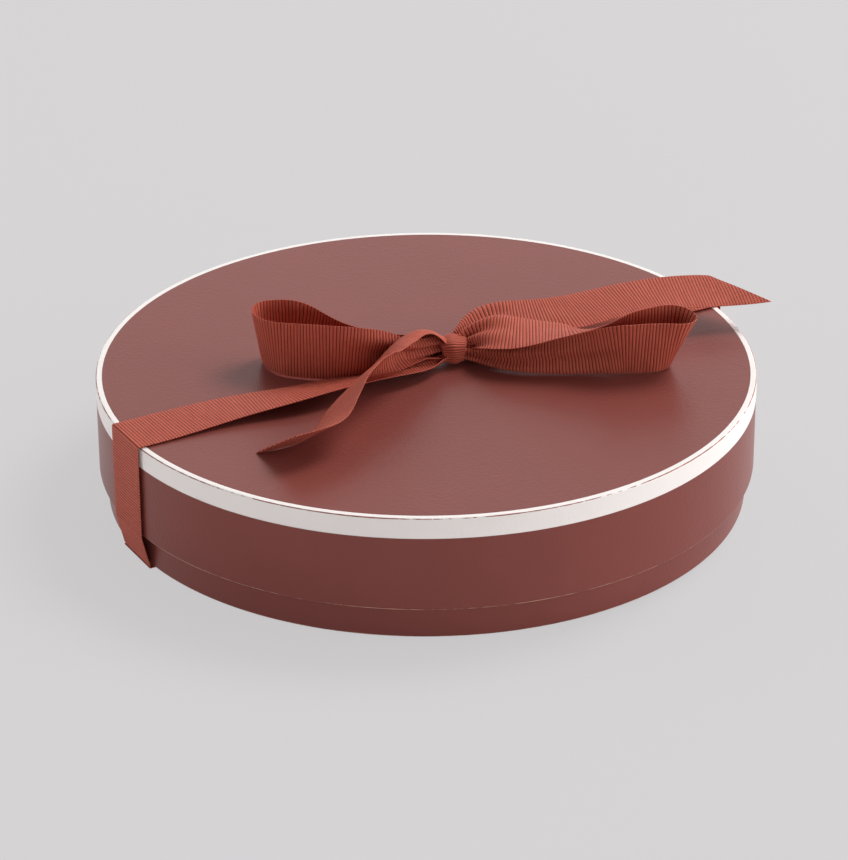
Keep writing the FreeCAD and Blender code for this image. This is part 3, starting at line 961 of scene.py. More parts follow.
@dataclass
class Lid:
    """The deep lid: brown wrap, white band over its edge, brown disc on top, linings inside."""

    levels: Levels
    overlap: Overlap = Overlap(140.0)
    band_steps: int = 480
    disc_shares: tuple[float, ...] = (0.0, 0.25, 0.5, 0.75, 0.9, 0.985)
    disc_edge: float = 0.05

    def wrap(self) -> Form:
        """Form the brown wrap with its edge turned in.

        Returns:
            The closed form.
        """
        size = self.levels
        inner = size.base_outer + size.play
        board_outer, board_inner = size.lid_outer - size.paper, inner + size.paper
        board_low = size.lid_low + size.paper
        turn_end = size.lid_low + size.turn_in
        return Lathe([
            Corner(inner, size.lid_low, size.inner_edge, wear=0.4),
            Corner(size.lid_outer, size.lid_low, size.edge, wear=1.0, skin=1.0),
            Corner(size.lid_outer, size.white_low, skin=1.0),
            Corner(board_outer, size.white_low),
            Corner(board_outer, board_low),
            Corner(board_inner, board_low),
            Corner(board_inner, turn_end),
            Corner(inner, turn_end),
        ]).turn(overlap=self.overlap)

    def band(self) -> Form:
        """Form the white band that turns over the lid's upper edge.

        Returns:
            The closed form.
        """
        size = self.levels
        board_outer, board_top = size.lid_outer - size.paper, size.lid_top - size.paper
        return Lathe([
            Corner(board_outer, size.white_low),
            Corner(size.lid_outer, size.white_low, skin=1.0),
            Corner(size.lid_outer, size.lid_top, size.edge, wear=1.0, skin=0.5, thin=2.5),
            Corner(size.white_inner, size.lid_top),
            Corner(size.white_inner, board_top),
            Corner(board_outer, board_top, size.edge - size.paper),
        ], arc_steps=8).turn(self.band_steps, self.overlap)

    def top(self) -> Form:
        """Form the brown disc on top, with a soft cut edge.

        Returns:
            The closed form.
        """
        size = self.levels
        low = size.lid_top - size.paper
        rings = [Corner(share * size.white_inner, size.lid_top) for share in self.disc_shares]
        edge = Corner(size.white_inner, size.lid_top, self.disc_edge)
        foot = [Corner(size.white_inner, low), Corner(0.0, low)]
        return Lathe([*rings, edge, *foot], arc_steps=3).turn()

    def build(self) -> None:
        """Make and dress the lid."""
        for form, name, finish, slot, node in (
            (self.wrap(), "lid_wrap", Finish.BROWN, "brown_paper", "lid_wrap_paper"),
            (self.band(), "lid_band", Finish.WHITE, "white_paper", "lid_white_band"),
            (self.top(), "lid_disc", Finish.BROWN, "brown_paper", "lid_top_paper"),
        ):
            stand_for(form.to_object(name, finish), "lid", node)
        dress_nodes(Finish.GREYBOARD, "lid_top_board", "lid_wall_board")
        dress_nodes(Finish.LINING, "lid_top_lining", "lid_wall_lining")


@dataclass
class Pad:
    """The embossed crepe pad glued under the lid, in millimetres."""

    radius: float = 83.0
    top: float = 34.2
    edge: float = 33.4
    low: float = 31.6
    puff: float = 7.0
    emboss: float = 0.55
    emboss_rise: float = 12.0
    least: float = 0.15
    rim: float = 0.3
    steps: int = 360
    rings: int = 74
    last_ring: float = 0.985
    rim_rings: tuple[float, float] = (0.995, 1.0)
    fill: float = 0.35

    def skin(self, x: np.ndarray, y: np.ndarray) -> np.ndarray:
        """Find the pad's lower level: crowned, with puffs between pressed lines.

        Args:
            x: Places along the ribbon.
            y: Places across it.

        Returns:
            The level at each place.
        """
        out = np.hypot(x, y) / self.radius
        crown = self.low + (self.edge - self.low) * out**2
        first, second = (
            np.abs(np.sin(math.pi * slant / self.puff / math.sqrt(2))) for slant in (x + y, x - y)
        )
        pressed = 1 - (first * second) ** 0.5
        return crown + self.emboss * pressed * np.clip((1 - out) * self.emboss_rise, 0, 1)

    def build(self) -> None:
        """Make and dress the pad."""
        shares = np.concatenate([np.linspace(0, self.last_ring, self.rings), self.rim_rings])
        above = polar(shares * self.radius, turns(self.steps)[:, None], np.array(self.top))
        below = above.copy()
        below[..., 2] = np.minimum(self.skin(above[..., 0], above[..., 1]), self.top - self.least)
        # A pinched rim between the two faces.
        below[:, -1, 2] = self.top - self.rim
        points = np.concatenate([below, above[:, ::-1]], axis=1) * MM
        piece = Form.grid(points, close_rows=True).to_object("lid_pad", Finish.CREPE, crease=50.0)
        stand_for(piece, "lid", "lid_cushion")


@dataclass
class Tray:
    """The formed insert, in millimetres: a web with a rounded lip and a fluted cup for each sweet.

    Attributes:
        taper: How far a cup's wall has drawn in below the lip, above the heel and at the heel.
        wall_ends: How far below the lip and above the floor the plain wall ends.
        flute_out: How far the flutes' crests stand out from the wall.
        guard: The width of a flat ring that runs along each lip and the shoulder.
        mouth: The share of the lip within which a face lies over a cup.
    """

    outer: float = 85.7
    top: float = 21.3
    foot: float = 2.4
    film: float = 0.35
    pocket: float = 15.24
    floor: float = 8.3
    lip: float = 1.1
    taper: tuple[float, float, float] = (0.05, 0.15, 0.2)
    wall_ends: tuple[float, float] = (1.2, 2.6)
    heel: float = 1.4
    ring: float = 9.4
    ring_half: float = 0.6
    ring_rise: float = 0.3
    shoulder: float = 1.2
    skirt_start: float = 3.0
    guard: float = 0.25
    mouth: float = 0.9
    flutes: int = 20
    flute_depth: float = 0.22
    flute_out: float = 0.1
    rings: tuple[tuple[float, int], ...] = ((0.0, 1), (33.48, 6), (66.96, 12))
    steps: int = 80
    skirt_steps: int = 240

    def middles(self) -> list[tuple[float, float]]:
        """List the middles of the pockets.

        Returns:
            Their places, ring by ring from the middle out.
        """
        found = []
        for radius, count in self.rings:
            for index in range(count):
                turn = ROUND * index / count
                found.append((radius * math.cos(turn), radius * math.sin(turn)))
        return found

    def cup(self, x: float, y: float) -> Form:
        """Form one cup's inner face, from its lip to the middle of its floor.

        Args:
            x: Its middle along the ribbon.
            y: Its middle across it.

        Returns:
            The open form.
        """
        under_lip, over_heel, at_heel = (self.pocket - taper for taper in self.taper)
        below, above = self.wall_ends
        rows = [
            (self.pocket + self.lip * left, self.top - self.lip * come, 0.0)
            for left, come in quarter(5)
        ]
        rows += [
            (under_lip, self.top - self.lip - below, 1.0),
            (over_heel, self.floor + above, 1.0),
        ]
        heel = quarter(4)
        rows += [
            (at_heel - self.heel * come, self.floor + self.heel * left, 1 - step / (len(heel) - 1))
            for step, (left, come) in enumerate(heel)
        ]
        rows += [
            (self.ring + self.ring_half, self.floor, 0.0),
            (self.ring, self.floor + self.ring_rise, 0.0),
            (self.ring - self.ring_half, self.floor, 0.0),
            (0.0, self.floor, 0.0),
        ]
        out, level, fluted = np.array(rows).T
        turn = turns(self.steps)[:, None]
        flute = self.flute_depth * (0.5 - 0.5 * np.cos(self.flutes * turn))
        points = polar(out + fluted * (self.flute_out - flute), turn, level) + (x, y, 0.0)
        return Form.grid(points * MM, close_rows=True)

    def web(self) -> Form:
        """Form the flat web round the cups' lips, with a flat ring along each edge.

        Returns:
            The open form.
        """
        points: list[Vector] = []
        edges: list[tuple[int, int]] = []
        loops = []
        for gap in (0.0, self.guard):
            loops.append((0.0, 0.0, self.outer - self.shoulder - gap, self.skirt_steps))
            loops += [(x, y, self.pocket + self.lip + gap, self.steps) for x, y in self.middles()]
        for x, y, radius, steps in loops:
            start = len(points)
            for step in range(steps):
                turn = ROUND * step / steps
                points.append(Vector((x + radius * math.cos(turn), y + radius * math.sin(turn))))
                edges.append((start + step, start + (step + 1) % steps))
        made, _, faces, *_ = delaunay_2d_cdt(points, edges, [], INSIDE_EDGES, MERGE_REACH)
        mouth = self.pocket + self.lip * self.mouth
        keep = []
        for face in faces:
            middle = sum((made[point] for point in face), Vector((0, 0))) / len(face)
            if all((middle - Vector(spot)).length >= mouth for spot in self.middles()):
                keep.append(tuple(face))
        flat = np.array([(point.x, point.y, self.top) for point in made])
        return Form(flat * MM, keep)

    def skirt(self) -> Form:
        """Form the skirt from the web's shoulder down to the box's floor.

        Returns:
            The open form.
        """
        rows = [
            (self.outer - self.shoulder * left, self.top - self.shoulder * come)
            for left, come in quarter(6)
        ]
        rows += [(self.outer, self.top - self.skirt_start), (self.outer, self.foot)]
        radius, level = np.array(rows).T
        points = polar(radius, turns(self.skirt_steps)[:, None], level)
        return Form.grid(points * MM, close_rows=True)

    def build(self) -> None:
        """Make and dress the insert."""
        form = self.web().join(self.skirt())
        for x, y in self.middles():
            form = form.join(self.cup(x, y))
        piece = form.to_object("tray", Finish.FILM, crease=40.0)
        if sum(face.normal.z * face.area for face in piece.data.polygons) < 0:
            piece.data.flip_normals()
        thick = piece.modifiers.new("film", "SOLIDIFY")
        thick.thickness = self.film * MM
        thick.offset = -1.0
        stand_for(piece, "base", "insert")


class Sweet(Enum):
    """The kinds of chocolate, each with its nodes' first word, its finish and its slot."""

    TRUFFLE = ("truffle", Finish.COCOA, "cocoa")
    PALET = ("palet", Finish.DARK, "dark_chocolate")
    SQUARE = ("square", Finish.DARK, "dark_chocolate")
    DOME = ("dome", Finish.MILK, "milk_chocolate")


@dataclass
class Chocolates:
    """One chocolate for each pocket, standing where its CAD solid stands.

    Attributes:
        truffle_turn: The angle, in degrees, at which a truffle's ball meets its foot.
        truffle_ball: The share of a row that runs over a truffle's ball.
        lump_size: The size of a truffle's lumps, and lump_depth their depth as a share.
        lump_noise: The finer lumps' strength, how much finer they are, and how many sizes.
        lump_seed: How far the lumps' pattern moves from one truffle to the next.
        dome_marks: The shares of a row at which a dome's cap and its wall end.
        dome_fade: The shares of a row between which a dome's flutes fade out.
    """

    rings: int = 36
    steps: int = 96
    soft: float = 1.8 * MM
    foot_edge: float = 0.4 * MM
    square_power: float = 7.0
    thread: float = 0.45 * MM
    thread_half: float = 0.55 * MM
    thread_pitch: float = 4.2 * MM
    thread_sway: float = 0.7 * MM
    sway_length: float = 3.2 * MM
    truffle_turn: float = 135.0
    truffle_ball: float = 0.86
    truffle_middle: float = 0.45
    lump_size: float = 3.2 * MM
    lump_depth: float = 0.075
    lump_noise: tuple[float, float, int] = (0.9, 2.1, 4)
    lump_seed: tuple[float, float] = (7.3, 3.1)
    lump_foot: float = 2 * MM
    dome_foot: float = 5.0 * MM
    dome_marks: tuple[float, float] = (0.55, 0.88)
    dome_fade: tuple[float, float] = (0.6, 0.7)
    dome_flutes: int = 9
    dome_twist: float = 2.4
    dome_depth: float = 0.035
    seed_step: float = 0.83

    def spread(self) -> tuple[np.ndarray, np.ndarray]:
        """Spread turns over the rows of a chocolate, and shares of each row over its points."""
        return turns(self.steps)[:, None], np.linspace(0, 1, self.rings)[None, :]

    def side(
        self, share: np.ndarray, radius: float, height: float
    ) -> tuple[np.ndarray, np.ndarray]:
        """Run from the middle of the top over a soft edge and down to the middle of the foot.

        Args:
            share: Places on that run, from 0 to 1.
            radius: Half the width.
            height: The height.

        Returns:
            Radius and level at each place.
        """
        flat, wall = radius - self.soft, height - self.soft
        bends = (self.soft * QUARTER, self.foot_edge * QUARTER)
        lengths = np.array([flat, bends[0], wall - self.foot_edge, bends[1], radius])
        top_end, edge_end, wall_end, foot_start = np.cumsum(lengths)[:4] / lengths.sum()
        swing = ramp(share, top_end, edge_end) * QUARTER
        out = flat * ramp(share, 0, top_end) + self.soft * np.sin(swing)
        fall = self.soft * (1 - np.cos(swing)) + wall * ramp(share, edge_end, wall_end)
        return out * (1 - ramp(share, foot_start, 1)), height - fall

    def coated(self, square: bool, radius: float, height: float, seed: float) -> Form:
        """Form a coated square or palet with piped threads over its top.

        Args:
            square: Whether it is a square.
            radius: Half its width.
            height: Its height.
            seed: Turns the threads from one chocolate to the next.

        Returns:
            The closed form.
        """
        turn, share = self.spread()
        crest = height - self.thread
        out, up = self.side(share, radius, crest)
        out = out * (rounded_square(turn, self.square_power) if square else 1.0)
        x, y = out * np.cos(turn), out * np.sin(turn)
        lines = x * math.cos(seed) + y * math.sin(seed)
        across = y * math.cos(seed) - x * math.sin(seed)
        wander = lines + self.thread_sway * np.sin(across / self.sway_length + seed)
        off = np.mod(wander, self.thread_pitch) - self.thread_pitch / 2
        thread = np.exp(-((off / self.thread_half) ** 2))
        rise = self.thread * thread * ramp(up, crest - self.soft, crest)
        return self.closed(out, turn, up + rise)

    def dome(self, radius: float, height: float) -> Form:
        """Form a dome whose flutes wind down from its top.

        Args:
            radius: Half its width.
            height: Its height.

        Returns:
            The closed form.
        """
        turn, share = self.spread()
        cap_end, wall_end = self.dome_marks
        swing = ramp(share, 0, cap_end) * QUARTER
        up = (height - self.dome_foot) * np.cos(swing)
        up = up + self.dome_foot * (1 - ramp(share, cap_end, wall_end))
        winding = self.dome_flutes * turn + self.dome_twist * swing
        flute = self.dome_depth * np.sin(swing) ** 2 * (1 - np.cos(winding))
        out = radius * np.sin(swing) * (1 - ramp(share, wall_end, 1))
        return self.closed(out * (1 - flute * (1 - ramp(share, *self.dome_fade))), turn, up)

    def truffle(self, radius: float, height: float, seed: float) -> Form:
        """Form a truffle: a ball with a flat foot, rolled in dust, with lumps pressed inwards.

        Args:
            radius: Half its width.
            height: Its height.
            seed: Moves the lumps from one truffle to the next.

        Returns:
            The closed form.
        """
        turn, share = self.spread()
        reach = math.radians(self.truffle_turn)
        swing = ramp(share, 0, self.truffle_ball) * reach
        tall = height / (1 - math.cos(reach))
        out = radius * np.sin(swing) * (1 - ramp(share, self.truffle_ball, 1))
        form = Form.grid(polar(out, turn, height - tall * (1 - np.cos(swing))), close_rows=True)
        middle = np.array([0, 0, height * self.truffle_middle])
        along, across = self.lump_seed
        for point in form.points:
            spot = Vector(point / self.lump_size) + Vector((seed * along, seed * across, 0))
            lump = max(0.0, 0.5 + 0.5 * noise.fractal(spot, *self.lump_noise))
            grip = min(1.0, point[2] / self.lump_foot)
            point -= (point - middle) * self.lump_depth * lump * grip
        return form

    @staticmethod
    def closed(out: np.ndarray, turn: np.ndarray, up: np.ndarray) -> Form:
        """Join rows that run from the top's middle to the foot's middle."""
        return Form.grid(polar(out, turn, np.maximum(up, 0)), close_rows=True)

    def form(self, kind: Sweet, radius: float, height: float, seed: float) -> Form:
        """Form one chocolate about its own middle, standing on level zero.

        Args:
            kind: Which chocolate.
            radius: Half its width.
            height: Its height.
            seed: Moves the pattern from one chocolate to the next.

        Returns:
            The closed form.
        """
        if kind is Sweet.TRUFFLE:
            return self.truffle(radius, height, seed)
        if kind is Sweet.DOME:
            return self.dome(radius, height)
        return self.coated(kind is Sweet.SQUARE, radius, height, seed)

    def build(self) -> None:
        """Make and dress every chocolate."""
        kinds = {kind.value[0]: kind for kind in Sweet}
        for node in sorted(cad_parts):
            word = node.split("_")[0]
            if word not in kinds:
                continue
            kind = kinds[word]
            _, finish, slot = kind.value
            low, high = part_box(node)
            middle = (low + high) / 2
            number = int(node.split("_")[1])
            half = min(high.x - low.x, high.y - low.y) / 2
            form = self.form(kind, half, high.z - low.z, number * self.seed_step)
            form.points = form.points + np.array([middle.x, middle.y, low.z])
            piece = form.to_object(f"{node}_sweet", finish, crease=60.0)
            stand_for(piece, "base", node)


def smooth_through(
    marks: np.ndarray, values: np.ndarray
) -> Callable[[np.ndarray], np.ndarray]:
    """Pass a smooth cubic through values, with end slopes read off the outer four points.

    Args:
        marks: Rising places of the values.
        values: One row to a mark.

    Returns:
        A function from places to rows.
    """
    count = len(marks)
    gap = np.diff(marks)
    rise = np.diff(values, axis=0) / gap[:, None]
    system = np.zeros((count, count))
    right = np.zeros_like(values)
    for index in range(1, count - 1):
        before, after = 1 / gap[index - 1], 1 / gap[index]
        system[index, index - 1 : index + 2] = before, 2 * (before + after), after
        right[index] = 3 * (rise[index - 1] * before + rise[index] * after)
    for index, few in ((0, slice(0, 4)), (count - 1, slice(count - 4, count))):
        system[index, index] = 1
        right[index] = np.polyfit(marks[few] - marks[index], values[few], 3)[-2]
    slope = np.linalg.solve(system, right)

    def read(places: np.ndarray) -> np.ndarray:
        """Read the curve.

        Args:
            places: Where to read it.

        Returns:
            One row to a place.
        """
        spot = np.clip(np.searchsorted(marks, places, side="right") - 1, 0, count - 2)
        width = gap[spot][:, None]
        share = ((places - marks[spot]) / gap[spot])[:, None]
        left = 1 - share
        first = (1 + 2 * share) * values[spot] + share * width * slope[spot]
        second = (1 + 2 * left) * values[spot + 1] - left * width * slope[spot + 1]
        return left**2 * first + share**2 * second

    return read


@dataclass
class Lay:
    """How a stretch of ribbon lies: its middle line, its width's direction, its gathers and cut."""

    middle: np.ndarray
    across: np.ndarray
    share: np.ndarray
    skew: np.ndarray

    def even(self, step: float) -> tuple["Lay", np.ndarray]:
        """Space the stations evenly.

        Args:
            step: About how far apart they are to lie.

        Returns:
            The new lay and how far along the ribbon each station is.
        """
        past = run_lengths(self.middle)
        along = np.linspace(0, past[-1], max(2, int(round(past[-1] / step)) + 1))

        def at(rows: np.ndarray) -> np.ndarray:
            """Read one column or row table at the new places."""
            if rows.ndim == 1:
                return np.interp(along, past, rows)
            return np.stack([np.interp(along, past, part) for part in rows.T], axis=1)

        return Lay(at(self.middle), at(self.across), at(self.share), at(self.skew)), along


@dataclass
class Weave:
    """The ribbon's own make, in metres.

    Attributes:
        cord_round: How broad the cords are: less is broader.
        edge_share: The share of the thickness that is left at the ribbon's edges.
        pinch: The share of the width that the edges draw in at a groove.
        swell: The share of the width that they come out again at a cord.
        pleat_keep: The share of the full depth that the pleats of a gathered ribbon keep.
    """

    width: float = 16 * MM
    thickness: float = 0.4 * MM
    pitch: float = 0.88 * MM
    groove: float = 0.13 * MM
    cord_steps: int = 6
    cord_round: float = 0.7
    columns: int = 15
    edge_share: float = 0.45
    pinch: float = 0.006
    swell: float = 0.008
    pleats: float = 2.0
    pleat_keep: float = 0.5
    least_bend: float = 0.02
    bend_readings: int = 400

    def gathered(
        self, share: np.ndarray, place: np.ndarray, pleat_turn: Optional[float]
    ) -> tuple[np.ndarray, np.ndarray]:
        """Find how a gathered ribbon's width lies: in pleats, or curled like a gutter.

        Args:
            share: The gathered width at each station, as a share of the full width.
            place: Places across the ribbon, from 1 to -1.
            pleat_turn: Phase of the pleats, or nothing for a curl.

        Returns:
            How far out and how high each place lies.
        """
        half = self.width / 2
        if pleat_turn is not None:
            slack = np.sqrt(2 * np.clip(1 - share**2, 0, 1))
            depth = self.pleat_keep * self.width * slack / (ROUND * self.pleats)
            wave = np.cos(math.pi * self.pleats * place + pleat_turn)
            return share[:, None] * half * place[None, :], depth[:, None] * wave[None, :]
        bends = np.linspace(self.least_bend, math.pi, self.bend_readings)
        bend = np.interp(-share, -np.sin(bends) / bends, bends)[:, None]
        out = half / bend * np.sin(bend * place[None, :])
        high = half / bend * (np.cos(bend * place[None, :]) - 1)
        return out, high - high.mean(axis=1, keepdims=True)

    def sheet(self, lay: Lay, pleat_turn: Optional[float]) -> Form:
        """Weave a ribbon along its lay.

        Args:
            lay: Where it lies.
            pleat_turn: Phase of the pleats across the ribbon, where it is gathered, or nothing
                where it curls instead.

        Returns:
            The closed sheet with its cords, and its along and across values in metres.
        """
        lay, along = lay.even(self.pitch / self.cord_steps)
        ahead = unit(np.gradient(lay.middle, axis=0))
        across = squared(lay.across, ahead)
        lift = np.cross(ahead, across)
        place = np.linspace(1, -1, self.columns)
        skew = lay.skew[:, None] * place[None, :]
        past = along[:, None] + skew
        cord = np.abs(np.sin(math.pi * past / self.pitch))
        reach, fold = self.gathered(lay.share, place, pleat_turn)
        reach = reach * (1 - self.pinch + self.swell * cord)
        skin = lay.middle[:, None, :] + sum(
            way[:, None, :] * far[..., None]
            for way, far in ((across, reach), (ahead, skew), (lift, fold))
        )
        normal = unit(np.cross(np.gradient(skin, axis=0), -np.gradient(skin, axis=1)))
        half = self.thickness / 2 - self.groove * (1 - cord**self.cord_round)
        half[:, [0, -1]] *= self.edge_share
        above, below = skin + normal * half[..., None], skin - normal * half[..., None]
        ring = np.concatenate([above, below[:, ::-1]], axis=1)
        form = Form.grid(ring, close_columns=True)
        for row in (0, len(skin) - 1):
            form.faces.extend(self._cap(row, 2 * self.columns))
        form.values["along"] = both_faces(past)
        form.values["across"] = both_faces(np.broadcast_to(place * self.width / 2, past.shape))
        return form

    @staticmethod
    def _cap(row: int, wide: int) -> list[tuple[int, ...]]:
        """Close the cut end of a ribbon, pairing its upper points with its lower ones.

        Args:
            row: The end's row.
            wide: Points to a row.

        Returns:
            The faces.
        """
        start, end = row * wide, (row + 1) * wide - 1
        return [
            (start + index, start + index + 1, end - index - 1, end - index)
            for index in range(wide // 2 - 1)
        ]


class Side(Enum):
    """The two sides of the knot."""

    LEFT = -1
    RIGHT = 1

    @property
    def word(self) -> str:
        """The word for it in the names of pieces."""
        return self.name.lower()


# How the bow lies. Each row is one station along the ribbon: out from the knot's side, across
# and up from the lid in ribbon widths, the lean from flat in degrees, and the gathered width as
# a share.
LEFT_LOOP_SHARES = [
    (0.05, 0.04, 0.340, 88, 0.30),
    (0.53, 0.00, 0.365, 86, 0.44),
    (1.00, 0.04, 0.440, 91, 0.72),
    (1.42, 0.10, 0.495, 90, 0.92),
    (1.85, 0.30, 0.530, 89, 1.00),
    (2.27, 0.62, 0.530, 90, 1.00),
    (2.57, 0.90, 0.532, 86, 1.00),
    (2.71, 1.24, 0.530, 80, 1.00),
    (2.67, 1.58, 0.532, 81, 1.00),
    (2.49, 1.74, 0.537, 86, 1.00),
    (2.25, 1.72, 0.535, 89, 1.00),
    (1.93, 1.49, 0.540, 89, 0.98),
    (1.66, 1.23, 0.475, 92, 0.85),
    (1.36, 0.98, 0.395, 91, 0.67),
    (0.93, 0.66, 0.340, 89, 0.52),
    (0.50, 0.38, 0.340, 88, 0.40),
    (0.05, 0.15, 0.350, 90, 0.30),
]
RIGHT_LOOP_SHARES = [
    (0.04, -0.10, 0.420, 36, 0.42),
    (0.27, -0.33, 0.555, 20, 0.80),
    (0.61, -0.60, 0.590, 8, 1.00),
    (1.05, -0.86, 0.610, -4, 1.00),
    (1.57, -1.14, 0.640, -20, 1.00),
    (2.15, -1.32, 0.565, -48, 1.00),
    (2.65, -1.60, 0.545, -77, 1.00),
    (3.02, -1.87, 0.540, -98, 1.00),
    (3.02, -2.18, 0.515, -116, 1.00),
    (2.69, -2.23, 0.510, -105, 1.00),
    (2.35, -2.12, 0.515, -100, 1.00),
    (1.94, -1.93, 0.510, -102, 1.00),
    (1.54, -1.63, 0.430, -97, 0.84),
    (1.14, -1.33, 0.355, -86, 0.70),
    (0.75, -1.02, 0.290, -74, 0.58),
    (0.40, -0.70, 0.235, -68, 0.46),
    (0.06, -0.30, 0.230, -72, 0.34),
]
LEFT_TAIL_SHARES = [
    (0.00, 0.06, 0.290, 98, 0.27),
    (0.32, 0.04, 0.465, 92, 0.44),
    (0.73, -0.10, 0.540, 70, 0.60),
    (1.12, -0.31, 0.575, 52, 0.86),
    (1.50, -0.54, 0.570, 43, 1.00),
    (1.84, -0.75, 0.575, 46, 1.00),
    (2.17, -0.98, 0.535, 46, 1.00),
    (2.50, -1.24, 0.455, 43, 1.00),
    (2.80, -1.51, 0.375, 41, 1.00),
    (3.15, -1.76, 0.312, 36, 1.00),
    (3.62, -1.87, 0.308, 37, 1.00),
    (4.07, -1.85, 0.302, 36, 1.00),
]
RIGHT_TAIL_SHARES = [
    (0.10, 0.16, 0.400, 8, 0.40),
    (0.57, 0.22, 0.460, 14, 0.80),
    (1.00, 0.06, 0.500, 13, 1.00),
    (1.52, -0.14, 0.515, 11, 1.00),
    (2.02, -0.24, 0.525, 9, 1.00),
    (2.59, -0.28, 0.545, 7, 1.00),
    (3.41, -0.39, 0.567, 8, 1.00),
    (4.35, -0.66, 0.550, 10, 1.00),
    (5.03, -0.88, 0.531, 7, 1.00),
]
# The stretch of ribbon on the lid, from the rim (0) to the knot (1): along as a share of that
# stretch, across and up in ribbon widths from the straight line to the knot, lean, gather.
LEFT_RUN_SHARES = [
    (0.00, 0.000, 0.00, 0, 1.00),
    (0.16, 0.035, 0.01, -1, 1.00),
    (0.34, 0.030, 0.05, -6, 1.00),
    (0.50, -0.100, 0.11, -12, 1.00),
    (0.62, -0.110, 0.125, -15, 1.00),
    (0.77, -0.110, 0.12, -15, 0.98),
    (0.88, -0.080, 0.09, -11, 0.88),
    (0.95, -0.040, 0.08, -8, 0.68),
    (1.00, -0.020, 0.10, -8, 0.40),
]
RIGHT_RUN_SHARES = [
    (0.00, 0.000, 0.00, 0, 1.00),
    (0.25, 0.030, 0.01, 0, 1.00),
    (0.52, 0.050, 0.03, 2, 1.00),
    (0.75, 0.020, 0.05, 4, 0.90),
    (0.88, -0.035, 0.06, 5, 0.65),
    (1.00, -0.080, 0.06, 6, 0.36),
]


@dataclass
class Knot:
    """The band drawn round the bow's middle and turned with the bow, in metres.

    Attributes:
        turn: Its turn about Z, in degrees.
        shown: The flat width that shows; not used.
        girth: The flat length round the bow; not used.
        power: How square it is seen from its side.
        roll: The share of its swell that is left at its rolled edges.
        slack: The share of its swell that is kept free for the creases.
        crease_fade: How close to the edges the creases fade out: more is closer.
        crease_sway: How far the creases sway round the band, and where they start.
        taper: Its length as shares: even, leaning to the top, and drawn in at top and foot.
        cord_slant: How many cords its edges lie ahead of its middle.
        groove_share: The depth of its grooves as a share of the ribbon's.
    """

    middle: tuple[float, float] = (7.2 * MM, -2.3 * MM)
    turn: float = -29.0
    length: float = 7.4 * MM
    depth: float = 8.8 * MM
    height: float = 7.3 * MM
    shown: float = 10 * MM
    girth: float = 26 * MM
    steps: int = 210
    columns: int = 33
    power: float = 3.0
    roll: float = 0.45
    slack: float = 0.04
    crease: float = 0.035
    creases: float = 2.2
    crease_fade: int = 6
    crease_sway: tuple[float, float] = (0.8, 0.6)
    taper: tuple[float, float, float] = (0.90, 0.10, 0.05)
    cords: int = 32
    cord_slant: float = 0.25
    groove_share: float = 1.2

    def places(self) -> np.ndarray:
        """Spread places across the band, from edge to edge."""
        return np.linspace(-1, 1, self.columns)[None, :]

    def skin(self, foot: float) -> np.ndarray:
        """Shape the band's outer face, with its edges rolled in.

        Args:
            foot: The level that it stands on.

        Returns:
            Its points, rows round the band by columns by three.
        """
        turn, place = turns(self.steps)[:, None], self.places()
        swing = place * QUARTER
        sway, start = self.crease_sway
        fold = np.cos(self.creases * math.pi * place + sway * np.sin(turn + start))
        roll = self.roll + (1 - self.roll) * np.cos(swing) ** 0.5
        crease = self.crease * fold * (1 - place**self.crease_fade)
        swell = rounded_square(turn, self.power) * (roll + crease - self.slack)
        even, lean, waist = self.taper
        length = even + lean * np.sin(turn) - waist * np.cos(2 * turn)
        deep = self.depth / 2 * swell * np.cos(turn)
        side = self.length / 2 * np.sin(swing) * length
        bend = math.radians(self.turn)
        x = self.middle[0] + side * math.cos(bend) - deep * math.sin(bend)
        y = self.middle[1] + side * math.sin(bend) + deep * math.cos(bend)
        return np.stack([x, y, foot + self.height / 2 * (1 + swell * np.sin(turn))], axis=2)

    def form(self, weave: Weave, foot: float) -> Form:
        """Weave the band.

        Args:
            weave: The ribbon's make.
            foot: The level that it stands on.

        Returns:
            The closed band with its cords, and its along and across values in metres.
        """
        skin, place = self.skin(foot), self.places()
        past = np.linspace(0, 1, self.steps, endpoint=False)[:, None]
        count = past * self.cords + self.cord_slant * place
        cord = np.abs(np.sin(math.pi * count))
        ahead = np.roll(skin, -1, axis=0) - np.roll(skin, 1, axis=0)
        normal = unit(np.cross(np.gradient(skin, axis=1), ahead))
        outward = np.sum(normal * (skin - skin.mean(axis=(0, 1))), axis=2).mean()
        normal *= 1 if outward > 0 else -1
        sunk = weave.groove * self.groove_share * (1 - cord**weave.cord_round)
        above, below = skin - normal * sunk[..., None], skin - normal * weave.thickness
        ring = np.concatenate([above, below[:, ::-1]], axis=1)
        form = Form.grid(ring, close_rows=True, close_columns=True)
        form.values["along"] = both_faces(count * weave.pitch)
        form.values["across"] = both_faces(np.broadcast_to(place * weave.width / 2, count.shape))
        return form


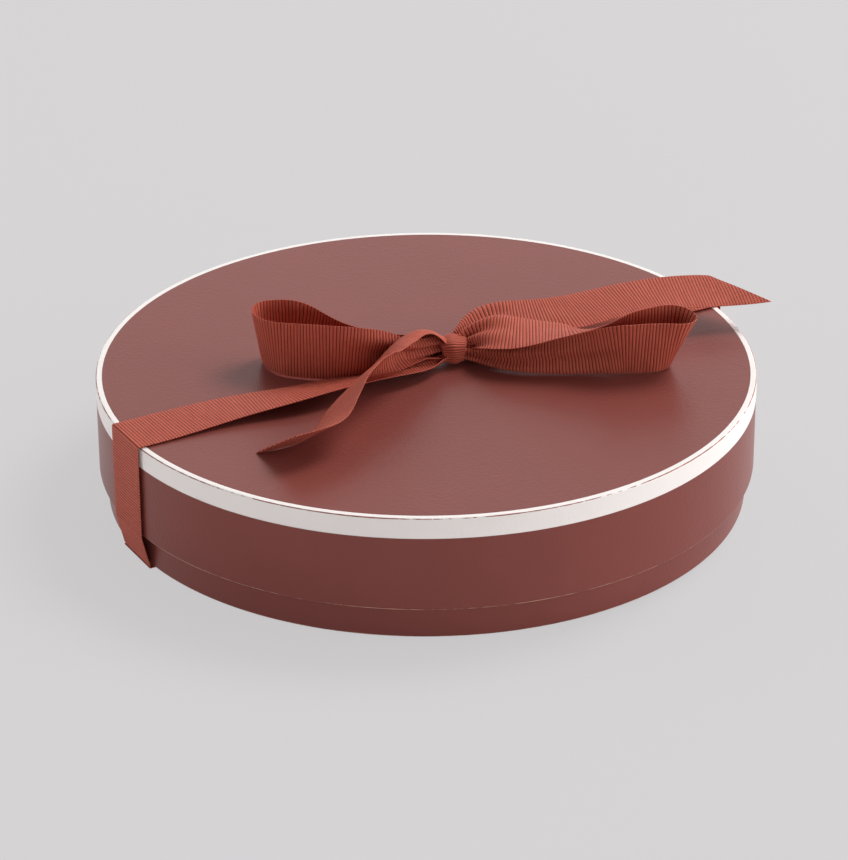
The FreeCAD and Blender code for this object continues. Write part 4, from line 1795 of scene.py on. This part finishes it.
@dataclass
class Ribbon:
    """The ribbon round the box, its knot and its bow, in metres.

    Attributes:
        knot_offset: The middle of the bow along X, and knot_side its distance towards -Y.
        play: The room between the ribbon and what it lies on.
        tuck: How far an end runs on into the knot.
        tuck_across: The share of its place across that an end keeps there.
        tuck_sink: The share by which an end comes to the level of the knot's middle.
        gathers: How close the starts, the ends of loops and the runs are drawn in the knot.
        run_pleats: The phase of the pleats in the left and the right run.
        loop_pleats: The same in the two loops.
        tail_pleats: The same in the two tails, or nothing for one that curls.
        cuts: How far each tail's left edge runs past its middle, in ribbon widths.
        cut_reach: How far back from a slanting cut the cords slant, in ribbon widths.
        crease: Edges that turn by more degrees than this stay sharp.
    """

    levels: Levels
    weave: Weave = field(default_factory=Weave)
    knot: Knot = field(default_factory=Knot)
    knot_offset: float = 7.0 * MM
    knot_side: float = 2.0 * MM
    knot_length: float = 7.6 * MM
    knot_play: float = 0.2 * MM
    play: float = 0.3 * MM
    tuck: float = 3.0 * MM
    tuck_across: float = 0.6
    tuck_sink: float = 0.6
    gathers: tuple[float, float, float] = (0.5, 0.6, 0.8)
    least_gather: float = 0.1
    run_pleats: tuple[float, float] = (0.4, 1.9)
    loop_pleats: tuple[float, float] = (0.0, 1.2)
    tail_pleats: tuple[Optional[float], Optional[float]] = (None, 0.7)
    cuts: tuple[float, float] = (-0.25, -0.42)
    cut_reach: float = 2.0
    edge_points: int = 10
    readings: int = 900
    crease: float = 75.0

    @property
    def top(self) -> float:
        """The lid's top."""
        return self.levels.lid_top * MM

    def knot_face(self, side: Side) -> float:
        """Find where ribbons meet the knot."""
        return self.knot_offset + side.value * (self.knot_length / 2 + self.knot_play)

    def read(
        self, stations: np.ndarray, middles: np.ndarray
    ) -> tuple[np.ndarray, np.ndarray, np.ndarray, np.ndarray]:
        """Read a smooth line through a table's stations.

        Args:
            stations: The table.
            middles: The place of the ribbon's middle at each station.

        Returns:
            The line, the way ahead, the lean in radians and the gather, at many places.
        """
        steps = np.sqrt(np.linalg.norm(np.diff(middles, axis=0), axis=1))
        marks = np.concatenate([[0], np.cumsum(steps)])
        places = np.linspace(0, marks[-1], self.readings)
        line = smooth_through(marks, middles)(places)
        lean, gather = smooth_through(marks, stations[:, 3:5])(places).T
        ahead = unit(np.gradient(line, axis=0))
        return line, ahead, np.radians(lean), np.clip(gather, self.least_gather, 1.0)

    @staticmethod
    def leaned(ahead: np.ndarray, side: np.ndarray, lean: np.ndarray) -> np.ndarray:
        """Turn the width's direction about the way ahead by its lean."""
        side = squared(side, ahead)
        return side * np.cos(lean)[:, None] + np.cross(ahead, side) * np.sin(lean)[:, None]

    def tucked(self, row: Sequence[float], gather: float) -> tuple[float, ...]:
        """Carry a table's end on into the knot, nearer its middle and gathered closer.

        Args:
            row: The station at that end.
            gather: The share of its gathered width that is left in the knot.

        Returns:
            The station inside the knot.
        """
        _, across, up, lean, share = row
        inside = -self.tuck / self.weave.width
        core = (self.knot.height / 2 + self.play) / self.weave.width
        level = up * (1 - self.tuck_sink) + core * self.tuck_sink
        return (inside, across * self.tuck_across, level, lean, share * gather)

    def bow_lay(self, table: list[tuple], side: Side, cut: float = 0.0, loop: bool = False) -> Lay:
        """Lay a loop or tail of the bow.

        Args:
            table: Its stations.
            side: The side of the knot that it leaves by.
            cut: How far its left edge runs past its middle at the free end, in ribbon widths.
            loop: Whether it comes back to the knot.

        Returns:
            The lay.
        """
        width = self.weave.width
        start_gather, end_gather, _ = self.gathers
        rows = [self.tucked(table[0], start_gather), *table]
        if loop:
            rows.append(self.tucked(table[-1], end_gather))
        stations = np.array(rows, float)
        middles = stations[:, :3] * np.array([side.value, 1, 1]) * width
        middles += np.array([self.knot_face(side), -self.knot_side, self.top])
        line, ahead, lean, share = self.read(stations, middles)
        across = self.leaned(ahead, np.cross(UP, ahead), lean)
        past = run_lengths(line)
        slant = ramp(past, past[-1] - self.cut_reach * width, past[-1])
        return Lay(line, across, share, cut * width * slant)

    def run_lay(self, table: list[tuple], side: Side) -> Lay:
        """Lay one half of the ribbon round the box: up a side, over the edge and along the lid.

        Args:
            table: Its stations on the lid.
            side: The side of the knot that it runs to.

        Returns:
            The lay.
        """
        out, rim = side.value, self.levels.lid_outer * MM
        foot, hem = self.levels.base_outer * MM, self.levels.lid_low * MM
        off = self.play + self.weave.thickness / 2
        climb = [(out * (foot + off), 0, self.weave.thickness + self.play)]
        climb.append((out * (rim + off), 0, hem))
        for turn in np.linspace(0, QUARTER, self.edge_points):
            x, z = out * (rim + off * math.cos(turn)), self.top + off * math.sin(turn)
            climb.append((x, 0, z))
        end = (1.0 + self.tuck / rim, *table[-1][1:4], table[-1][4] * self.gathers[2])
        stations = np.array([*table, end], float)
        reach = np.array([self.knot_face(side) - out * rim, -self.knot_side, 0])
        middles = np.array([out * rim, 0, self.top + off]) + stations[:, :1] * reach
        middles[:, 1:] += stations[:, 1:3] * self.weave.width
        line, ahead, lean, share = self.read(stations, middles)
        laid = self.leaned(ahead, ACROSS, lean)
        middle = np.concatenate([climb, line[1:]])
        across = np.concatenate([np.repeat(ACROSS, len(climb), axis=0), laid[1:]])
        share = np.concatenate([np.ones(len(climb)), share[1:]])
        return Lay(middle, across, share, np.zeros(len(middle)))

    def under_lay(self) -> Lay:
        """Lay the strip that the box stands on.

        Returns:
            The lay.
        """
        reach = self.levels.base_outer * MM + self.play + self.weave.thickness
        level = self.weave.thickness / 2
        line = np.array([[-reach, 0, level], [reach, 0, level]])
        return Lay(line, np.repeat(ACROSS, 2, axis=0), np.ones(2), np.zeros(2))

    def piece(
        self,
        name: str,
        node: str,
        lay: Lay,
        pleat_turn: Optional[float],
        body: str = "ribbon",
        rests_on: Sequence[str] = ("lid_disc",),
    ) -> None:
        """Args:
            name: The piece's name.
            node: The CAD node that it stands for.
            lay: Where it lies.
            pleat_turn: Phase of its pleats, or nothing where it curls instead.
            body: The body that it rides on.
            rests_on: What it lies on; not used.
        """
        _, along = lay.even(self.weave.pitch)
        form = self.weave.sheet(lay, pleat_turn)
        made = form.to_object(name, Finish.RIBBON, self.crease, weld=False)
        stand_for(made, body, node)

    def build(self) -> None:
        """Make and dress every piece of the ribbon."""
        runs = (LEFT_RUN_SHARES, RIGHT_RUN_SHARES)
        loops = (LEFT_LOOP_SHARES, RIGHT_LOOP_SHARES)
        tails = (LEFT_TAIL_SHARES, RIGHT_TAIL_SHARES)
        for side, table, turn in zip(Side, runs, self.run_pleats):
            word, lay = side.word, self.run_lay(table, side)
            self.piece(f"ribbon_{word}_band", f"ribbon_{word}_run", lay, turn)
        self.piece(
            "ribbon_under_band",
            "ribbon_under",
            self.under_lay(),
            pleat_turn=0.0,
            body="ribbon_under",
            rests_on=["base_under_paper"],
        )
        for side, table, turn in zip(Side, loops, self.loop_pleats):
            word, lay = side.word, self.bow_lay(table, side, loop=True)
            self.piece(f"bow_{word}_loop", f"ribbon_{word}_loop", lay, turn)
        for side, table, turn, cut in zip(Side, tails, self.tail_pleats, self.cuts):
            word, lay = side.word, self.bow_lay(table, side, cut)
            self.piece(f"bow_{word}_tail", f"ribbon_{word}_tail", lay, turn)
        form = self.knot.form(self.weave, self.top + self.play)
        knot = form.to_object("bow_knot", Finish.RIBBON, self.crease, weld=False)
        stand_for(knot, "ribbon", "ribbon_knot")


@dataclass(frozen=True)
class SoftLight:
    """One large soft lamp."""

    name: str
    place: Place
    size: float
    power: float
    aim: Place = (0.0, 0.0, 0.02)

    def build(self) -> None:
        """Put the lamp up."""
        data = bpy.data.lights.new(self.name, "AREA")
        data.shape = "DISK"
        data.size = self.size
        data.energy = self.power
        lamp = bpy.data.objects.new(self.name, data)
        lamp.location = self.place
        lamp.rotation_mode = "QUATERNION"
        lamp.rotation_quaternion = (Vector(self.aim) - Vector(self.place)).to_track_quat("-Z", "Y")
        bpy.context.scene.collection.objects.link(lamp)


@dataclass
class Studio:
    """Camera, floor and light.

    Attributes:
        turn: The camera's turn about the box, in degrees.
        dip: How far it looks down, in radians.
        roll: How far it is tilted sideways, in radians.
        focal_pixels: Its focal length in pixels of a picture with this long_side.
    """

    turn: float = -29.0
    dip: float = 0.46459
    roll: float = -0.0045
    distance: float = 1.0144
    look_at: Place = (-0.00066, 0.0, 0.0159)
    focal_pixels: float = 3682.47
    long_side: float = 860.0
    sight: tuple[float, float] = (0.01, 50.0)
    floor_half: float = 6.0
    sky: SkyFinish = SkyFinish(
        "studio", colour=(1.0, 0.99, 0.995), walls=1.0, dim=0.04, dim_way=(-0.490, -0.211, 0.846)
    )
    lamps: tuple[SoftLight, ...] = (
        SoftLight("main_lamp", (1.26, 0.22, 1.62), size=1.0, power=28.0),
        SoftLight("left_lamp", (-1.5, 0.95, 0.50), size=1.2, power=8.0),
        SoftLight("right_lamp", (1.4, -0.85, 0.50), size=1.2, power=9.0),
        SoftLight("front_lamp", (-0.78, -1.40, 0.20), size=0.5, power=2.6),
    )

    def camera(self) -> None:
        """Stand the camera where the picture was taken from."""
        to_part = Matrix.Rotation(math.radians(self.turn), 3, "Z")
        right = Vector((1, 0, 0))
        ahead = Vector((0, math.cos(self.dip), -math.sin(self.dip)))
        up = Vector((0, math.sin(self.dip), math.cos(self.dip)))
        across = right * math.cos(self.roll) + up * math.sin(self.roll)
        above = up * math.cos(self.roll) - right * math.sin(self.roll)
        axes = [to_part @ axis for axis in (across, above, -ahead)]
        matrix = Matrix(axes).transposed().to_4x4()
        matrix.translation = to_part @ (Vector(self.look_at) - ahead * self.distance)
        data = bpy.data.cameras.new("camera")
        data.lens = self.focal_pixels / self.long_side * data.sensor_width
        data.clip_start, data.clip_end = self.sight
        camera = bpy.data.objects.new("camera", data)
        camera.matrix_world = matrix
        bpy.context.scene.collection.objects.link(camera)
        bpy.context.scene.camera = camera

    def floor(self) -> None:
        """Lay the pale floor at the table's level."""
        ways = ((-1, -1, 0), (1, -1, 0), (1, 1, 0), (-1, 1, 0))
        corners = np.array(ways, float) * self.floor_half
        floor = Form(corners, [(0, 1, 2, 3)]).to_object("floor", Finish.FLOOR)

    def build(self) -> None:
        """Set up the studio."""
        self.camera()
        self.floor()
        for lamp in self.lamps:
            lamp.build()
        bpy.context.scene.world = self.sky.build()
        bpy.context.scene.view_settings.view_transform = "Standard"
        LOG.info("studio is set up")


def main() -> None:
    """Build the scene, one sub-assembly after another."""
    logging.basicConfig(level=logging.INFO)
    levels = Levels()
    assemblies = (
        Studio(), Base(levels), Lid(levels), Pad(), Tray(), Chocolates(), Ribbon(levels)
    )
    for assembly in assemblies:
        assembly.build()
        LOG.info("%s is built", type(assembly).__name__)


if __name__ == "__main__":
    main()
